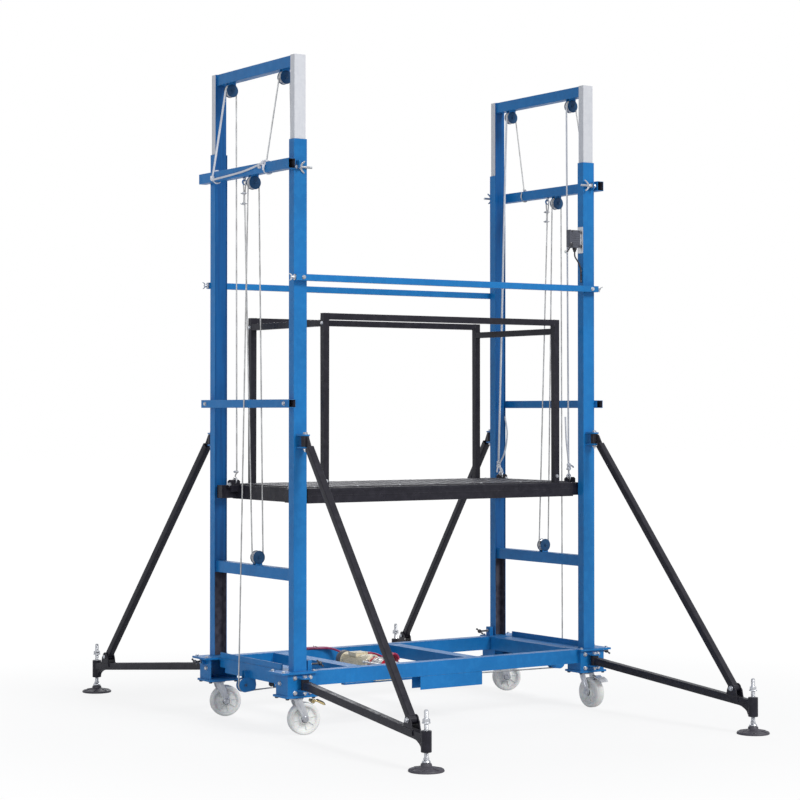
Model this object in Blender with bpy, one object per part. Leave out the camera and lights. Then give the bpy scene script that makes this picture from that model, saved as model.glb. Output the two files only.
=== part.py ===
"""A rope-hoisted lifting scaffold on castors: two telescoping end masts, a guarded work platform
between them, a powered winch in the base and four screw-jack outriggers.

Metres, +Z up. Origin on the floor, midway between the four mast posts. +X runs from the left mast
to the right one along the platform, +Y to the rear. Left and right, front and rear are abbreviated
in the names: fl is front left, rr is rear right. A name ending in _X, _Y or _Z that holds a pair
is a span along that axis. Spans of mirrored parts are given for the positive side."""

from collections import namedtuple
from math import cos, pi, radians, sin

import bpy
from mathutils import Matrix, Vector

# ---- driving dimensions ----------------------------------------------------------------------
HEIGHT = 2.600  # top of the raised inner masts
SPAN = 1.410  # between post centres, along X
GAUGE = 0.620  # between post centres, along Y
HALF_SPAN, HALF_GAUGE = SPAN / 2, GAUGE / 2
FIT = 0.0003  # gap between pieces that rest on each other

POST_SIZE_X, POST_SIZE_Y, POST_WALL = 0.058, 0.038, 0.0025  # outer post
POST_TOP = 2.276
POST_FACE = HALF_GAUGE + POST_SIZE_Y / 2  # outer face of the post, along Y

RAIL_LOW, RAIL_TOP = 0.187, 0.243  # base rails
PLATE_TOP = 0.245  # corner plates that carry the posts
CORNER_LOW = 0.147  # underside of the castor plates

CROSSBAR_SIZE = 0.032
CROSSBAR_X = HALF_SPAN + POST_SIZE_X / 2 + FIT + CROSSBAR_SIZE / 2 + 0.0002

PIVOT_Y = 0.365  # vertical outrigger hinge, beyond each corner
HINGE_PIN_RADIUS, HINGE_BORE_RADIUS = 0.006, 0.0064
BRACE_Z = 1.120  # middle of the hinge of the outrigger brace

BAR_SHEAVE_Z, FOOT_SHEAVE_Z, BASE_SHEAVE_Z = 2.129, 0.660, 0.1600
BAR_SHEAVE_Y = {"left": -0.050, "right": -0.054}
FOOT_SHEAVE_Y = {"left": -0.006, "right": -0.020}
BASE_SHEAVE_Y = {"left": 0.020, "right": -0.060}
TOP_SHEAVE_Y, TOP_SHEAVE_Z = 0.211, 2.525

# Signs of X and Y at each corner, of X at each mast, and of Y at the front and rear
CORNERS = {"fl": (-1, -1), "fr": (1, -1), "rl": (-1, 1), "rr": (1, 1)}
SIDES = {"left": -1, "right": 1}
ENDS = {"front": -1, "rear": 1}

COLOURS = {
    "blue_paint": (0.018, 0.155, 0.50, 1),
    "black_paint": (0.020, 0.019, 0.024, 1),
    "zinc": (0.62, 0.64, 0.66, 1),
    "nylon": (0.82, 0.82, 0.80, 1),
    "cream_paint": (0.80, 0.72, 0.52, 1),
    "red_paint": (0.55, 0.02, 0.03, 1),
    "rope": (0.70, 0.71, 0.72, 1),
    "grey_plastic": (0.09, 0.10, 0.12, 1),
    "deck_paint": (0.035, 0.034, 0.038, 1),
}
METALS = ("zinc", "rope")
METAL_ROUGHNESS, PAINT_ROUGHNESS = 0.35, 0.45
SMOOTH_BELOW = radians(40)
FACETS, FEWEST_SIDES = 0.6, 10  # share of the nominal flats kept on round pieces, and the least


# ---- spans: each is (low, high) --------------------------------------------------------------
def about(centre, half):
    return centre - half, centre + half


def inset(span, wall):
    return span[0] + wall, span[1] - wall


def mirror(span, side):
    return side * span[0], side * span[1]


# ---- shapes: each is (points, faces) ---------------------------------------------------------
def outward(points, faces):
    """The faces turned so that the closed shape faces out."""
    volume = 0.0
    for face in faces:
        first = Vector(points[face[0]])
        for i in range(1, len(face) - 1):
            volume += first.dot(Vector(points[face[i]]).cross(Vector(points[face[i + 1]])))
    return points, (faces if volume > 0 else [tuple(reversed(face)) for face in faces])


def box(x_span, y_span, z_span):
    points = [(x, y, z) for x in sorted(x_span) for y in sorted(y_span) for z in sorted(z_span)]
    faces = [(0, 1, 3, 2), (4, 6, 7, 5), (0, 4, 5, 1), (2, 3, 7, 6), (0, 2, 6, 4), (1, 5, 7, 3)]
    return outward(points, faces)


def corner_box(spans, side_x, side_y):
    """A box given for the rear right corner, mirrored to another."""
    return box(mirror(spans[0], side_x), mirror(spans[1], side_y), spans[2])


def tube(x_span, y_span, z_span, wall, axis, overrun):
    """A box, and the void that hollows it along an axis and overruns both its ends."""
    spans = [sorted(span) for span in (x_span, y_span, z_span)]
    void = [inset(span, -overrun if name == axis else wall) for name, span in zip("xyz", spans)]
    return box(*spans), box(*void)


def split(tubes):
    """The outsides and the voids of several tubes, as two lists."""
    return [outside for outside, void in tubes], [void for outside, void in tubes]


def prism(outline, axis, low, high):
    """A polygon drawn in the plane across the axis, drawn out from low to high."""
    place = {
        "x": lambda p, along: (along, p[0], p[1]),
        "y": lambda p, along: (p[0], along, p[1]),
        "z": lambda p, along: (p[0], p[1], along),
    }[axis]
    n = len(outline)
    points = [place(p, low) for p in outline] + [place(p, high) for p in outline]
    faces = [tuple(range(n)), tuple(reversed(range(n, 2 * n)))]
    faces += [(i, n + i, n + (i + 1) % n, (i + 1) % n) for i in range(n)]
    return outward(points, faces)


def turned(profile, centre, axis, sides, ring=False):
    """A profile of (distance along the axis, radius) pairs turned about an axis through centre.
    A ring's profile is a closed loop; otherwise flat discs close both ends."""
    centre, axis = Vector(centre), Vector(axis).normalized()
    if sides > FEWEST_SIDES:
        sides = max(FEWEST_SIDES, round(sides * FACETS))
    across = axis.orthogonal().normalized() if abs(axis.z) < 0.99 else Vector((1, 0, 0))
    other = axis.cross(across)
    rows, points = [], []
    for distance, radius in profile:
        rows.append(list(range(len(points), len(points) + sides)))
        for i in range(sides):
            turn = 2 * pi * i / sides
            spoke = (across * cos(turn) + other * sin(turn)) * radius
            points.append(tuple(centre + axis * distance + spoke))
    faces = []
    for row, following in zip(rows, rows[1:] + (rows[:1] if ring else [])):
        for i in range(sides):
            j = (i + 1) % sides
            faces.append((row[i], row[j], following[j], following[i]))
    if not ring:
        faces += [tuple(reversed(rows[0])), tuple(rows[-1])]
    return outward(points, faces)


def symmetric(half):
    """A profile from its half at negative distances."""
    return half + [(-distance, radius) for distance, radius in reversed(half)]


def rod(start, end, radius, sides=16):
    start, end = Vector(start), Vector(end)
    return turned([(0, radius), ((end - start).length, radius)], start, end - start, sides)


def rod_y(x, y_span, z, radius, sides):
    return rod((x, y_span[0], z), (x, y_span[1], z), radius, sides)


def rod_z(x, y, z_span, radius, sides):
    return rod((x, y, z_span[0]), (x, y, z_span[1]), radius, sides)


def bar(start, end, width, height):
    """A solid rectangular bar between two points of equal y. Its width lies along Y."""
    start, end = Vector(start), Vector(end)
    across = Vector((0, 1, 0))
    up = (end - start).normalized().cross(across)
    points = []
    for p in (start, end):
        for u, v in ((-1, -1), (1, -1), (1, 1), (-1, 1)):
            points.append(tuple(p + across * (u * width / 2) + up * (v * height / 2)))
    faces = [(0, 1, 2, 3), (7, 6, 5, 4), (0, 4, 5, 1), (1, 5, 6, 2), (2, 6, 7, 3), (3, 7, 4, 0)]
    return outward(points, faces)


def moved(shape, matrix):
    return outward([tuple(matrix @ Vector(p)) for p in shape[0]], shape[1])


# ---- pieces ----------------------------------------------------------------------------------
def material(name, slot):
    """Each piece's own Principled material in the colour of its slot."""
    made = bpy.data.materials.new(name + "_" + slot)
    made.use_nodes = True
    shader = next(n for n in made.node_tree.nodes if n.type == "BSDF_PRINCIPLED")
    is_metal = slot in METALS
    shader.inputs["Base Color"].default_value = COLOURS[slot]
    shader.inputs["Roughness"].default_value = METAL_ROUGHNESS if is_metal else PAINT_ROUGHNESS
    shader.inputs["Metallic"].default_value = 1.0 if is_metal else 0.0
    made.diffuse_color = COLOURS[slot]
    return made


def new_object(name, shape):
    mesh = bpy.data.meshes.new(name)
    mesh.from_pydata(shape[0], [], shape[1])
    mesh.validate()
    made = bpy.data.objects.new(name, mesh)
    bpy.context.scene.collection.objects.link(made)
    return made


def apply_booleans(made, steps):
    """Run (shape, operation) steps on an object and keep only the resulting mesh."""
    helpers = []
    for i, (shape, operation) in enumerate(steps):
        helper = new_object(f"{made.name}_helper_{i}", shape)
        helper.hide_render = True
        helper.display_type = "WIRE"
        modifier = made.modifiers.new(f"{operation}_{i}", "BOOLEAN")
        modifier.operation = operation
        modifier.solver = "EXACT"
        modifier.object = helper
        helpers.append(helper)
    bpy.context.view_layer.update()
    graph = bpy.context.evaluated_depsgraph_get()
    joined = bpy.data.meshes.new_from_object(made.evaluated_get(graph))
    made.modifiers.clear()
    old, made.data = made.data, joined
    bpy.data.meshes.remove(old)
    for helper in helpers:
        mesh = helper.data
        bpy.data.objects.remove(helper, do_unlink=True)
        bpy.data.meshes.remove(mesh)


def piece(name, slot, add, cut=(), again=(), last=(), origin=(0, 0, 0), place=None):
    """One object: the shapes in add joined, less those in cut, then again joined and last cut.
    A place matrix moves all the shapes first."""
    stages = (add, cut, again, last)
    if place is not None:
        stages = [[moved(shape, place) for shape in stage] for stage in stages]
    operations = ("UNION", "DIFFERENCE", "UNION", "DIFFERENCE")
    steps = [(shape, op) for stage, op in zip(stages, operations) for shape in stage]
    made = new_object(name, steps[0][0])
    if len(steps) > 1:
        apply_booleans(made, steps[1:])
    made.data.name = name
    made.data.transform(Matrix.Translation(-Vector(origin)))
    made.location = origin
    made.data.materials.clear()
    made.data.materials.append(material(name, slot))
    made.data.shade_smooth()
    made.data.set_sharp_from_angle(angle=SMOOTH_BELOW)


# ---- parts shared by several pieces ----------------------------------------------------------
CHEEK_OFFSET, CHEEK_HALF = 0.0106, 0.0010  # round cheek: from the sheave's middle, half thickness
WEB_OFFSETS = (0.00935, 0.01185)  # flat part of the cheek, from the sheave's middle
SHEAVE_PIN_RADIUS = 0.004


def sheave_bracket(x, y, z, web_x, web_z, cheek_radius, sides, pin_half):
    """Two cheek plates and the pin of a sheave whose axis lies along Y."""
    cheek = symmetric([(-CHEEK_HALF, cheek_radius)])
    parts = []
    for side in (-1, 1):
        parts.append(turned(cheek, (x, y + side * CHEEK_OFFSET, z), (0, 1, 0), sides))
        parts.append(box(web_x, [y + side * offset for offset in WEB_OFFSETS], web_z))
    parts.append(rod_y(x, about(y, pin_half), z, SHEAVE_PIN_RADIUS, 16))
    return parts


def mast_sheave_bracket(x, y, z, plate_z, half_x=0.017):
    """Bracket whose cheeks reach up or down to plate_z."""
    return sheave_bracket(x, y, z, about(x, half_x), (z + 0.0007, plate_z),
                          cheek_radius=half_x + 0.0012, sides=20, pin_half=0.0145)


def hinge_lugs(side_x, side_y, outline, lows, thickness, pin_z):
    """Two horizontal lugs and the upright pin through them. The outline's points are
    (x from the post centre, y)."""
    points = [(side_x * HALF_SPAN + x, side_y * y) for x, y in outline]
    parts = [prism(points, "z", low, low + thickness) for low in lows]
    pin = rod_z(side_x * HALF_SPAN, side_y * PIVOT_Y, pin_z, HINGE_PIN_RADIUS, 20)
    return parts + [pin]


# A clamp screw with its boss and bore. tip and head are x of its ends, outwards is the sign of
# the way from tip to head.
Clamp = namedtuple("Clamp", "boss_x boss_z bore_x z tip head outwards")
SIDE_CLAMP = Clamp(boss_x=(0.7685, 0.7840), boss_z=(0.2140, 0.2380), bore_x=(0.7715, 0.795),
                   z=0.2260, tip=0.7725, head=0.811, outwards=1)
PLATE_CLAMP = Clamp(boss_x=(0.650, 0.668), boss_z=(0.2442, 0.2840), bore_x=(0.640, 0.675),
                    z=0.2670, tip=0.6725, head=0.606, outwards=-1)
CLAMP_BOSS_Y = (0.296, 0.324)


def clamp_at(side_x, side_y):
    """On the corner block's outer side at fr and rl, on the post plate at fl and rr."""
    return SIDE_CLAMP if side_x * side_y < 0 else PLATE_CLAMP


# ---- base frame ------------------------------------------------------------------------------
BASE_WALL = 0.003
BASE_RAIL_HALF, BASE_RAIL_Y = 0.662, (0.285, 0.330)
END_BEAM_X, END_BEAM_HALF = (0.640, 0.735), 0.272
UPSTAND_X, UPSTAND_HALF, UPSTAND_TOP = (0.7290, 0.7346), 0.240, 0.266
BASE_CROSS_X, BASE_CROSS_HALF, BASE_CROSS_LOW = ((-0.460, -0.400), (0.100, 0.160)), 0.287, 0.193

# Corner parts, as spans along X, Y and Z
POST_PLATE = ((0.640, 0.800), (0.245, 0.356), (0.2372, PLATE_TOP))
CORNER_BLOCK = ((0.646, 0.770), (0.258, 0.345), (0.152, 0.239))
CASTOR_PLATE = ((0.640, 0.778), (0.248, 0.352), (CORNER_LOW, 0.155))
CORNER_VOID = ((0.650, 0.766), (0.200, 0.341), (0.158, 0.2340))

BEARER_YS, BEARER_X, BEARER_Z = (-0.158, -0.030), (-0.4015, 0.1015), (0.154, 0.161)
HANGER_XS, HANGER_Z = ((-0.4060, -0.3980), (0.0980, 0.1060)), (0.1545, 0.2100)

# (x from the post centre, y)
BASE_LUG = [(-0.022, 0.343), (0.022, 0.343), (0.019, 0.372),
            (0.010, 0.383), (-0.010, 0.383), (-0.019, 0.372)]


def base_tubes():
    """Front and rear rails, end beams, then the cross members between the rails."""
    tubes = []
    for side in (-1, 1):
        tubes.append(tube(about(0, BASE_RAIL_HALF), mirror(BASE_RAIL_Y, side),
                          (RAIL_LOW, RAIL_TOP), BASE_WALL, "x", 0.038))
        tubes.append(tube(mirror(END_BEAM_X, side), about(0, END_BEAM_HALF),
                          (RAIL_LOW, RAIL_TOP - 0.0004), BASE_WALL, "y", 0.008))
    for x_span in BASE_CROSS_X:
        tubes.append(tube(x_span, about(0, BASE_CROSS_HALF),
                          (BASE_CROSS_LOW, RAIL_TOP - 0.0008), BASE_WALL, "y", 0.013))
    return tubes


def hoist_bearers():
    """Straps under the hoist, hung from the cross members."""
    parts = []
    for y in BEARER_YS:
        parts.append(box(BEARER_X, about(y, 0.010), BEARER_Z))
        parts += [box(x_span, about(y, 0.0095), HANGER_Z) for x_span in HANGER_XS]
    return parts


def base_sheave_brackets():
    """Outside the end beams."""
    parts = []
    for name, side in SIDES.items():
        parts += sheave_bracket(
            side * CROSSBAR_X, BASE_SHEAVE_Y[name], BASE_SHEAVE_Z,
            web_x=mirror((0.7338, CROSSBAR_X + 0.004), side),
            web_z=(BASE_SHEAVE_Z + 0.0013, 0.2150), cheek_radius=0.028, sides=28, pin_half=0.014)
    return parts


def base_frame():
    add, cut = split(base_tubes())
    again = [box(mirror(UPSTAND_X, side), about(0, UPSTAND_HALF), (RAIL_LOW + 0.020, UPSTAND_TOP))
             for side in (-1, 1)]
    again += hoist_bearers()
    bores = []
    for side_x, side_y in CORNERS.values():
        for spans in (POST_PLATE, CORNER_BLOCK, CASTOR_PLATE):
            add.append(corner_box(spans, side_x, side_y))
        cut.append(corner_box(CORNER_VOID, side_x, side_y))
        again += hinge_lugs(side_x, side_y, BASE_LUG, lows=(0.1722, 0.2190), thickness=0.0055,
                            pin_z=(0.170, 0.229))
        clamp = clamp_at(side_x, side_y)
        again.append(corner_box((clamp.boss_x, CLAMP_BOSS_Y, clamp.boss_z), side_x, side_y))
        start, end = [(side_x * x, side_y * HALF_GAUGE, clamp.z) for x in clamp.bore_x]
        bores.append(rod(start, end, 0.0045))
    again += base_sheave_brackets()
    piece("base_frame", "blue_paint", add, cut, again, bores)


def control_sleeve():
    """Channel under the front rail, open below and at both ends."""
    outside_y, wall = (-0.330, -0.268), 0.0025
    top = RAIL_LOW - FIT
    piece("control_sleeve", "blue_paint",
          [box((-0.150, 0.152), outside_y, (0.134, top))],
          [box((-0.200, 0.170), inset(outside_y, wall), (0.1325, top - wall))])


# ---- hoist -----------------------------------------------------------------------------------
HOIST_X, HOIST_Z = -0.205, 0.212  # the common axis of motor, gearbox and drum, along Y
HOIST_FOOT_HALF, HOIST_FOOT_LOW = 0.062, 0.1613
DRUM_FRONT, DRUM_REAR, DRUM_RADIUS = -0.172, -0.092, 0.026  # between the flanges
FLANGE_RADIUS, FLANGE_THICKNESS, FLANGE_FILLET = 0.0330, 0.004, 0.001
DRUM_RIDGES, RIDGE_HEIGHT = 6, 0.0045
SHAFT_Y, SHAFT_RADIUS, SHAFT_BORE_RADIUS = (-0.1840, -0.0620), 0.0085, 0.0090

# (distance along Y from the middle of the part, radius)
MOTOR_PROFILE = [(-0.085, 0.034), (-0.078, 0.041), (0.078, 0.041), (0.085, 0.036)]
MOTOR_COVER_PROFILE = symmetric([(-0.013, 0.045), (-0.010, 0.047)])
GEARBOX_PROFILE = symmetric([(-0.020, 0.042), (-0.016, 0.046)])


def hoist_motor():
    x, z = HOIST_X, HOIST_Z
    bearing_plate = [(x - 0.050, 0.1640), (x + 0.050, 0.1640), (x + 0.050, z + 0.020),
                     (x + 0.030, z + 0.034), (x - 0.030, z + 0.034), (x - 0.050, z + 0.020)]
    foot_x = about(x, HOIST_FOOT_HALF)
    body = [
        turned(MOTOR_PROFILE, (x, 0.045, z), (0, 1, 0), 36),
        turned(MOTOR_COVER_PROFILE, (x, 0.142, z), (0, 1, 0), 32),
        turned(GEARBOX_PROFILE, (x, -0.056, z), (0, 1, 0), 36),
        # terminal box
        box(about(x, 0.036), (0.010, 0.070), (z + 0.030, z + 0.0460)),
        # foot on the rear bearer, and the block between it and the gearbox
        box(foot_x, (-0.0448, -0.0240), (HOIST_FOOT_LOW, 0.1680)),
        box(about(x, 0.043), (-0.0440, -0.0260), (0.1650, z + 0.0050)),
        # front drum bearing: foot and plate
        box(foot_x, (-0.1860, -0.1490), (HOIST_FOOT_LOW, 0.1660)),
        prism(bearing_plate, "y", -0.1855, -0.1800),
    ]
    # rods on both sides of the drum tie the plate to the gearbox
    body += [rod((x + side * 0.043, -0.183, z + 0.013), (x + side * 0.038, -0.056, z + 0.013),
                 0.0045, 10) for side in (-1, 1)]
    # the drum runs in a blind hole of the gearbox and a hole of the bearing plate
    bores = [rod_y(x, y_span, z, SHAFT_BORE_RADIUS, 20)
             for y_span in ((-0.0765, -0.0600), (-0.1900, -0.1770))]
    piece("hoist_motor", "cream_paint", body, bores)


def winch_drum():
    profile = [
        (SHAFT_Y[0], SHAFT_RADIUS), (DRUM_FRONT - FLANGE_THICKNESS, SHAFT_RADIUS),
        (DRUM_FRONT - FLANGE_THICKNESS, FLANGE_RADIUS), (DRUM_FRONT, FLANGE_RADIUS),
        (DRUM_FRONT + FLANGE_FILLET, DRUM_RADIUS),
    ]
    step = (DRUM_REAR - DRUM_FRONT - 0.006) / DRUM_RIDGES
    for i in range(DRUM_RIDGES):
        valley = DRUM_FRONT + 0.003 + i * step
        profile += [(valley, DRUM_RADIUS), (valley + 0.5 * step, DRUM_RADIUS + RIDGE_HEIGHT)]
    profile += [
        (DRUM_REAR - FLANGE_FILLET, DRUM_RADIUS), (DRUM_REAR, FLANGE_RADIUS),
        (DRUM_REAR + FLANGE_THICKNESS, FLANGE_RADIUS),
        (DRUM_REAR + FLANGE_THICKNESS, SHAFT_RADIUS), (SHAFT_Y[1], SHAFT_RADIUS),
    ]
    piece("winch_drum", "red_paint", [turned(profile, (HOIST_X, 0, HOIST_Z), (0, 1, 0), 24)],
          origin=(HOIST_X, (DRUM_FRONT + DRUM_REAR) / 2, HOIST_Z))


# ---- masts -----------------------------------------------------------------------------------
# (x from the post centre, y)
POST_LUG = [(-0.020, POST_FACE - 0.001), (0.020, POST_FACE - 0.001), (0.018, 0.370),
            (0.010, 0.382), (-0.010, 0.382), (-0.018, 0.370)]

UPPER_BAR_Z, UPPER_BAR_HALF = 2.178, 0.020
UPPER_BAR_FRONT, UPPER_BAR_REAR = {"left": -0.341, "right": -0.352}, 0.366
MIDDLE_BAR_Z, MIDDLE_BAR_HALF_LENGTH = 1.264, 0.345
BAR_WALL = 0.002  # crossbars and tie rails
EYE_Y = {"left": 0.035, "right": 0.000}
EYE_INSET, EYE_RADIUS, EYE_WIRE_RADIUS = 0.008, 0.0095, 0.0028

TIE_SIZE, TIE_Z, TIE_HALF_LENGTH = 0.025, 1.745, 0.738

INNER_SIZE_X, INNER_SIZE_Y, INNER_WALL = 0.050, 0.032, 0.002  # slides inside the outer post
INNER_BOTTOM = 0.585
INNER_CENTRE = HALF_GAUGE - 0.0005
BEAM_WIDTH = 0.036
MAST_BEAM_Z = ((HEIGHT - 0.0445, HEIGHT - 0.0005), (INNER_BOTTOM + 0.0005, INNER_BOTTOM + 0.0455))


def outer_posts():
    """Channels open towards y = 0, with the hinge lugs of the outrigger braces."""
    half_x, half_y, wall = POST_SIZE_X / 2, POST_SIZE_Y / 2, POST_WALL
    outline = [(-half_x, -half_y), (-half_x, half_y), (half_x, half_y), (half_x, -half_y),
               (half_x - wall, -half_y), (half_x - wall, half_y - wall),
               (wall - half_x, half_y - wall), (wall - half_x, -half_y)]
    for name, (side_x, side_y) in CORNERS.items():
        points = [(side_x * HALF_SPAN + x, side_y * (HALF_GAUGE + y)) for x, y in outline]
        lugs = hinge_lugs(side_x, side_y, POST_LUG, lows=(BRACE_Z - 0.0265, BRACE_Z + 0.0205),
                          thickness=0.006, pin_z=(BRACE_Z - 0.030, BRACE_Z + 0.031))
        channel = prism(points, "z", PLATE_TOP + FIT, POST_TOP)
        piece(f"outer_post_{name}", "blue_paint", [channel] + lugs)


def rope_eye(x, y, bar_low):
    """A shank and ring under an upper crossbar."""
    section = [(EYE_WIRE_RADIUS * cos(2 * pi * i / 6),
                EYE_RADIUS + EYE_WIRE_RADIUS * sin(2 * pi * i / 6)) for i in range(6)]
    return [rod_z(x, y, (bar_low + 0.0012, bar_low - 0.012), 0.004, 12),
            turned(section, (x, y, bar_low - 0.0185), (0, 1, 0), 20, ring=True)]


def crossbars():
    for name, side in SIDES.items():
        x = side * CROSSBAR_X
        x_span = about(x, CROSSBAR_SIZE / 2)
        low = UPPER_BAR_Z - UPPER_BAR_HALF
        outside, void = tube(x_span, (UPPER_BAR_FRONT[name], UPPER_BAR_REAR),
                             about(UPPER_BAR_Z, UPPER_BAR_HALF), BAR_WALL, "y", 0.01)
        fittings = mast_sheave_bracket(x, BAR_SHEAVE_Y[name], BAR_SHEAVE_Z, low + 0.001)
        fittings += rope_eye(x - side * EYE_INSET, EYE_Y[name], low)
        piece(f"crossbar_upper_{name}", "blue_paint", [outside], [void], fittings)
        outside, void = tube(x_span, about(0, MIDDLE_BAR_HALF_LENGTH),
                             about(MIDDLE_BAR_Z, CROSSBAR_SIZE / 2), BAR_WALL, "y", 0.015)
        piece(f"crossbar_middle_{name}", "blue_paint", [outside], [void])


def tie_rails():
    """Along X across the outer faces of the posts."""
    inner_face = POST_FACE + FIT
    for name, side in ENDS.items():
        y_span = mirror((inner_face, inner_face + TIE_SIZE), side)
        outside, void = tube(about(0, TIE_HALF_LENGTH), y_span, about(TIE_Z, TIE_SIZE / 2),
                             BAR_WALL, "x", 0.022)
        piece(f"tie_rail_{name}", "blue_paint", [outside], [void])


def limit_switch():
    """On the inner side of the front right post."""
    mount = HALF_SPAN - POST_SIZE_X / 2 - FIT
    pivot_x, pivot_z = 0.622, 1.926
    roller_x, roller_z = 0.597, 1.893
    lever_y = -0.3325
    piece("limit_switch", "grey_plastic", [
        box((mount - 0.003, mount), (-0.3285, -0.2965), (1.895, 2.005)),  # back plate
        box((0.617, mount - 0.002), (-0.3265, -0.2980), (1.912, 1.985)),  # case
        rod_y(pivot_x, (-0.3265, -0.3345), pivot_z, 0.006, 16),
        bar((pivot_x, lever_y, pivot_z), (roller_x, lever_y, roller_z), 0.004, 0.008),
        rod_y(roller_x, (-0.3345, -0.3205), roller_z, 0.007, 16),
    ])


def inner_masts():
    """Two posts joined by a beam at the top and one at the bottom, with three sheave brackets."""
    inside = INNER_CENTRE - INNER_SIZE_Y / 2
    for name, side in SIDES.items():
        x = side * HALF_SPAN
        tubes = [tube(about(x, INNER_SIZE_X / 2), about(side_y * INNER_CENTRE, INNER_SIZE_Y / 2),
                      (INNER_BOTTOM, HEIGHT), INNER_WALL, "z", 0.01) for side_y in (-1, 1)]
        tubes += [tube(about(x, BEAM_WIDTH / 2), about(0, inside + 0.0015), z_span,
                       INNER_WALL, "y", 0.0025) for z_span in MAST_BEAM_Z]
        brackets = []
        for side_y in (-1, 1):
            brackets += mast_sheave_bracket(x, side_y * TOP_SHEAVE_Y, TOP_SHEAVE_Z,
                                            HEIGHT - 0.0435)
        brackets += mast_sheave_bracket(x, FOOT_SHEAVE_Y[name], FOOT_SHEAVE_Z,
                                        INNER_BOTTOM + 0.0445, half_x=0.015)
        piece(f"inner_mast_{name}", "blue_paint", *split(tubes), brackets)


# ---- platform --------------------------------------------------------------------------------
DECK_TOP, FRAME_LOW = 0.942, 0.880
FRAME_TOP = DECK_TOP - 0.004
FRAME_WALL, FRAME_CROSS_WALL = 0.0025, 0.002
FRAME_CROSS_XS = (-0.300, 0.0, 0.300)
GUIDE_SHOE = ((0.6540, 0.7250), (0.246, 0.2860), (FRAME_LOW + 0.004, FRAME_TOP - 0.002))
LUG_BLOCK = ((0.646, 0.690), (0.230, 0.256), (FRAME_LOW + 0.030, FRAME_TOP - 0.0015))
# (x, z)
ROPE_LUG = [(0.646, 0.925), (0.702, 0.925), (0.702, 0.952),
            (0.695, 0.958), (0.653, 0.958), (0.646, 0.952)]
ROPE_LUG_Y = (0.236, 0.242)

GUARD_X, GUARD_Y, GUARD_TOP = 0.565, 0.280, 1.615  # post centres and top of the rails
GUARD_HALF, GUARD_WALL = 0.0125, 0.0018
END_RAIL_DROP = {-1: 0.026, 1: 0.036}  # below the top rail, left and right


def platform_frame():
    tubes = []
    for side in (-1, 1):
        # front or rear rail, then left or right end member
        tubes.append(tube(about(0, 0.650), mirror((0.255, 0.2925), side),
                          (FRAME_LOW, FRAME_TOP), FRAME_WALL, "x", 0.050))
        tubes.append(tube(mirror((0.615, 0.655), side), about(0, 0.256),
                          inset((FRAME_LOW, FRAME_TOP), 0.0005), FRAME_WALL, "y", 0.014))
    for x in FRAME_CROSS_XS:  # cross members under the deck
        tubes.append(tube(about(x, 0.015), about(0, 0.257),
                          (FRAME_LOW + 0.010, FRAME_TOP - 0.0010), FRAME_CROSS_WALL, "y", 0.005))
    fittings = []
    for side_x, side_y in CORNERS.values():  # guide shoes on the inner posts, with the rope lugs
        fittings.append(corner_box(GUIDE_SHOE, side_x, side_y))
        fittings.append(prism([(side_x * x, z) for x, z in ROPE_LUG], "y",
                              *mirror(ROPE_LUG_Y, side_y)))
        fittings.append(corner_box(LUG_BLOCK, side_x, side_y))
    piece("platform_frame", "black_paint", *split(tubes), fittings)


def deck_plate():
    piece("deck_plate", "deck_paint",
          [box(about(0, 0.6440), about(0, 0.2655), (DECK_TOP - 0.0037, DECK_TOP))])


def guard_post(x, y):
    """A square tube, closed at its top."""
    x_span, y_span, low = about(x, GUARD_HALF), about(y, GUARD_HALF), FRAME_TOP + FIT
    return (box(x_span, y_span, (low, GUARD_TOP)),
            box(inset(x_span, GUARD_WALL), inset(y_span, GUARD_WALL),
                (low - 0.01, GUARD_TOP - GUARD_WALL)))


def guard_end_rail(side):
    """Joined to the front guard rail and reaching back to the rear posts."""
    x_span = about(side * GUARD_X, GUARD_HALF - 0.0004)
    z_span = about(GUARD_TOP - GUARD_HALF - END_RAIL_DROP[side], GUARD_HALF)
    return (box(x_span, (-GUARD_Y, GUARD_Y - GUARD_HALF - FIT), z_span),
            box(inset(x_span, GUARD_WALL), about(0, GUARD_Y), inset(z_span, GUARD_WALL)))


def guard_rails():
    for name, side in ENDS.items():
        y = side * GUARD_Y
        tubes = [guard_post(side_x * GUARD_X, y) for side_x in (-1, 1)]
        tubes.append(tube(about(0, GUARD_X), about(y, GUARD_HALF - 0.0002),
                          (GUARD_TOP - 2 * GUARD_HALF, GUARD_TOP - 0.0002), GUARD_WALL, "x", 0))
        if name == "front":
            tubes += [guard_end_rail(side_x) for side_x in (-1, 1)]
        piece(f"guard_rail_{name}", "black_paint", *split(tubes))


# ---- castors: drawn about the swivel axis, trailing along local +X ---------------------------
WHEEL_RADIUS, WHEEL_HALF, WHEEL_LIFT = 0.0625, 0.019, 0.0005
AXLE_Z = WHEEL_RADIUS + WHEEL_LIFT
CASTOR_X, CASTOR_Y, TRAIL = 0.710, 0.305, 0.031
CASTOR_HEADING = {"fl": -14.0, "fr": -88.0, "rl": -18.0, "rr": -30.0}  # degrees, way of trail
BRAKED = ("fl", "fr")
CASTOR_TOP = CORNER_LOW - FIT

# (z, radius)
SWIVEL_PROFILE = [(0.1370, 0.027), (0.1400, 0.029), (0.1440, 0.029), (CASTOR_TOP, 0.026)]
# (distance from the wheel's middle, radius)
WHEEL_PROFILE = symmetric([
    (-0.0215, 0.0064), (-0.0215, 0.0170), (-0.0120, 0.0230), (-0.0120, 0.0400),
    (-WHEEL_HALF, 0.0470), (-WHEEL_HALF, WHEEL_RADIUS - 0.004),
    (-WHEEL_HALF + 0.006, WHEEL_RADIUS)])
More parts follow.
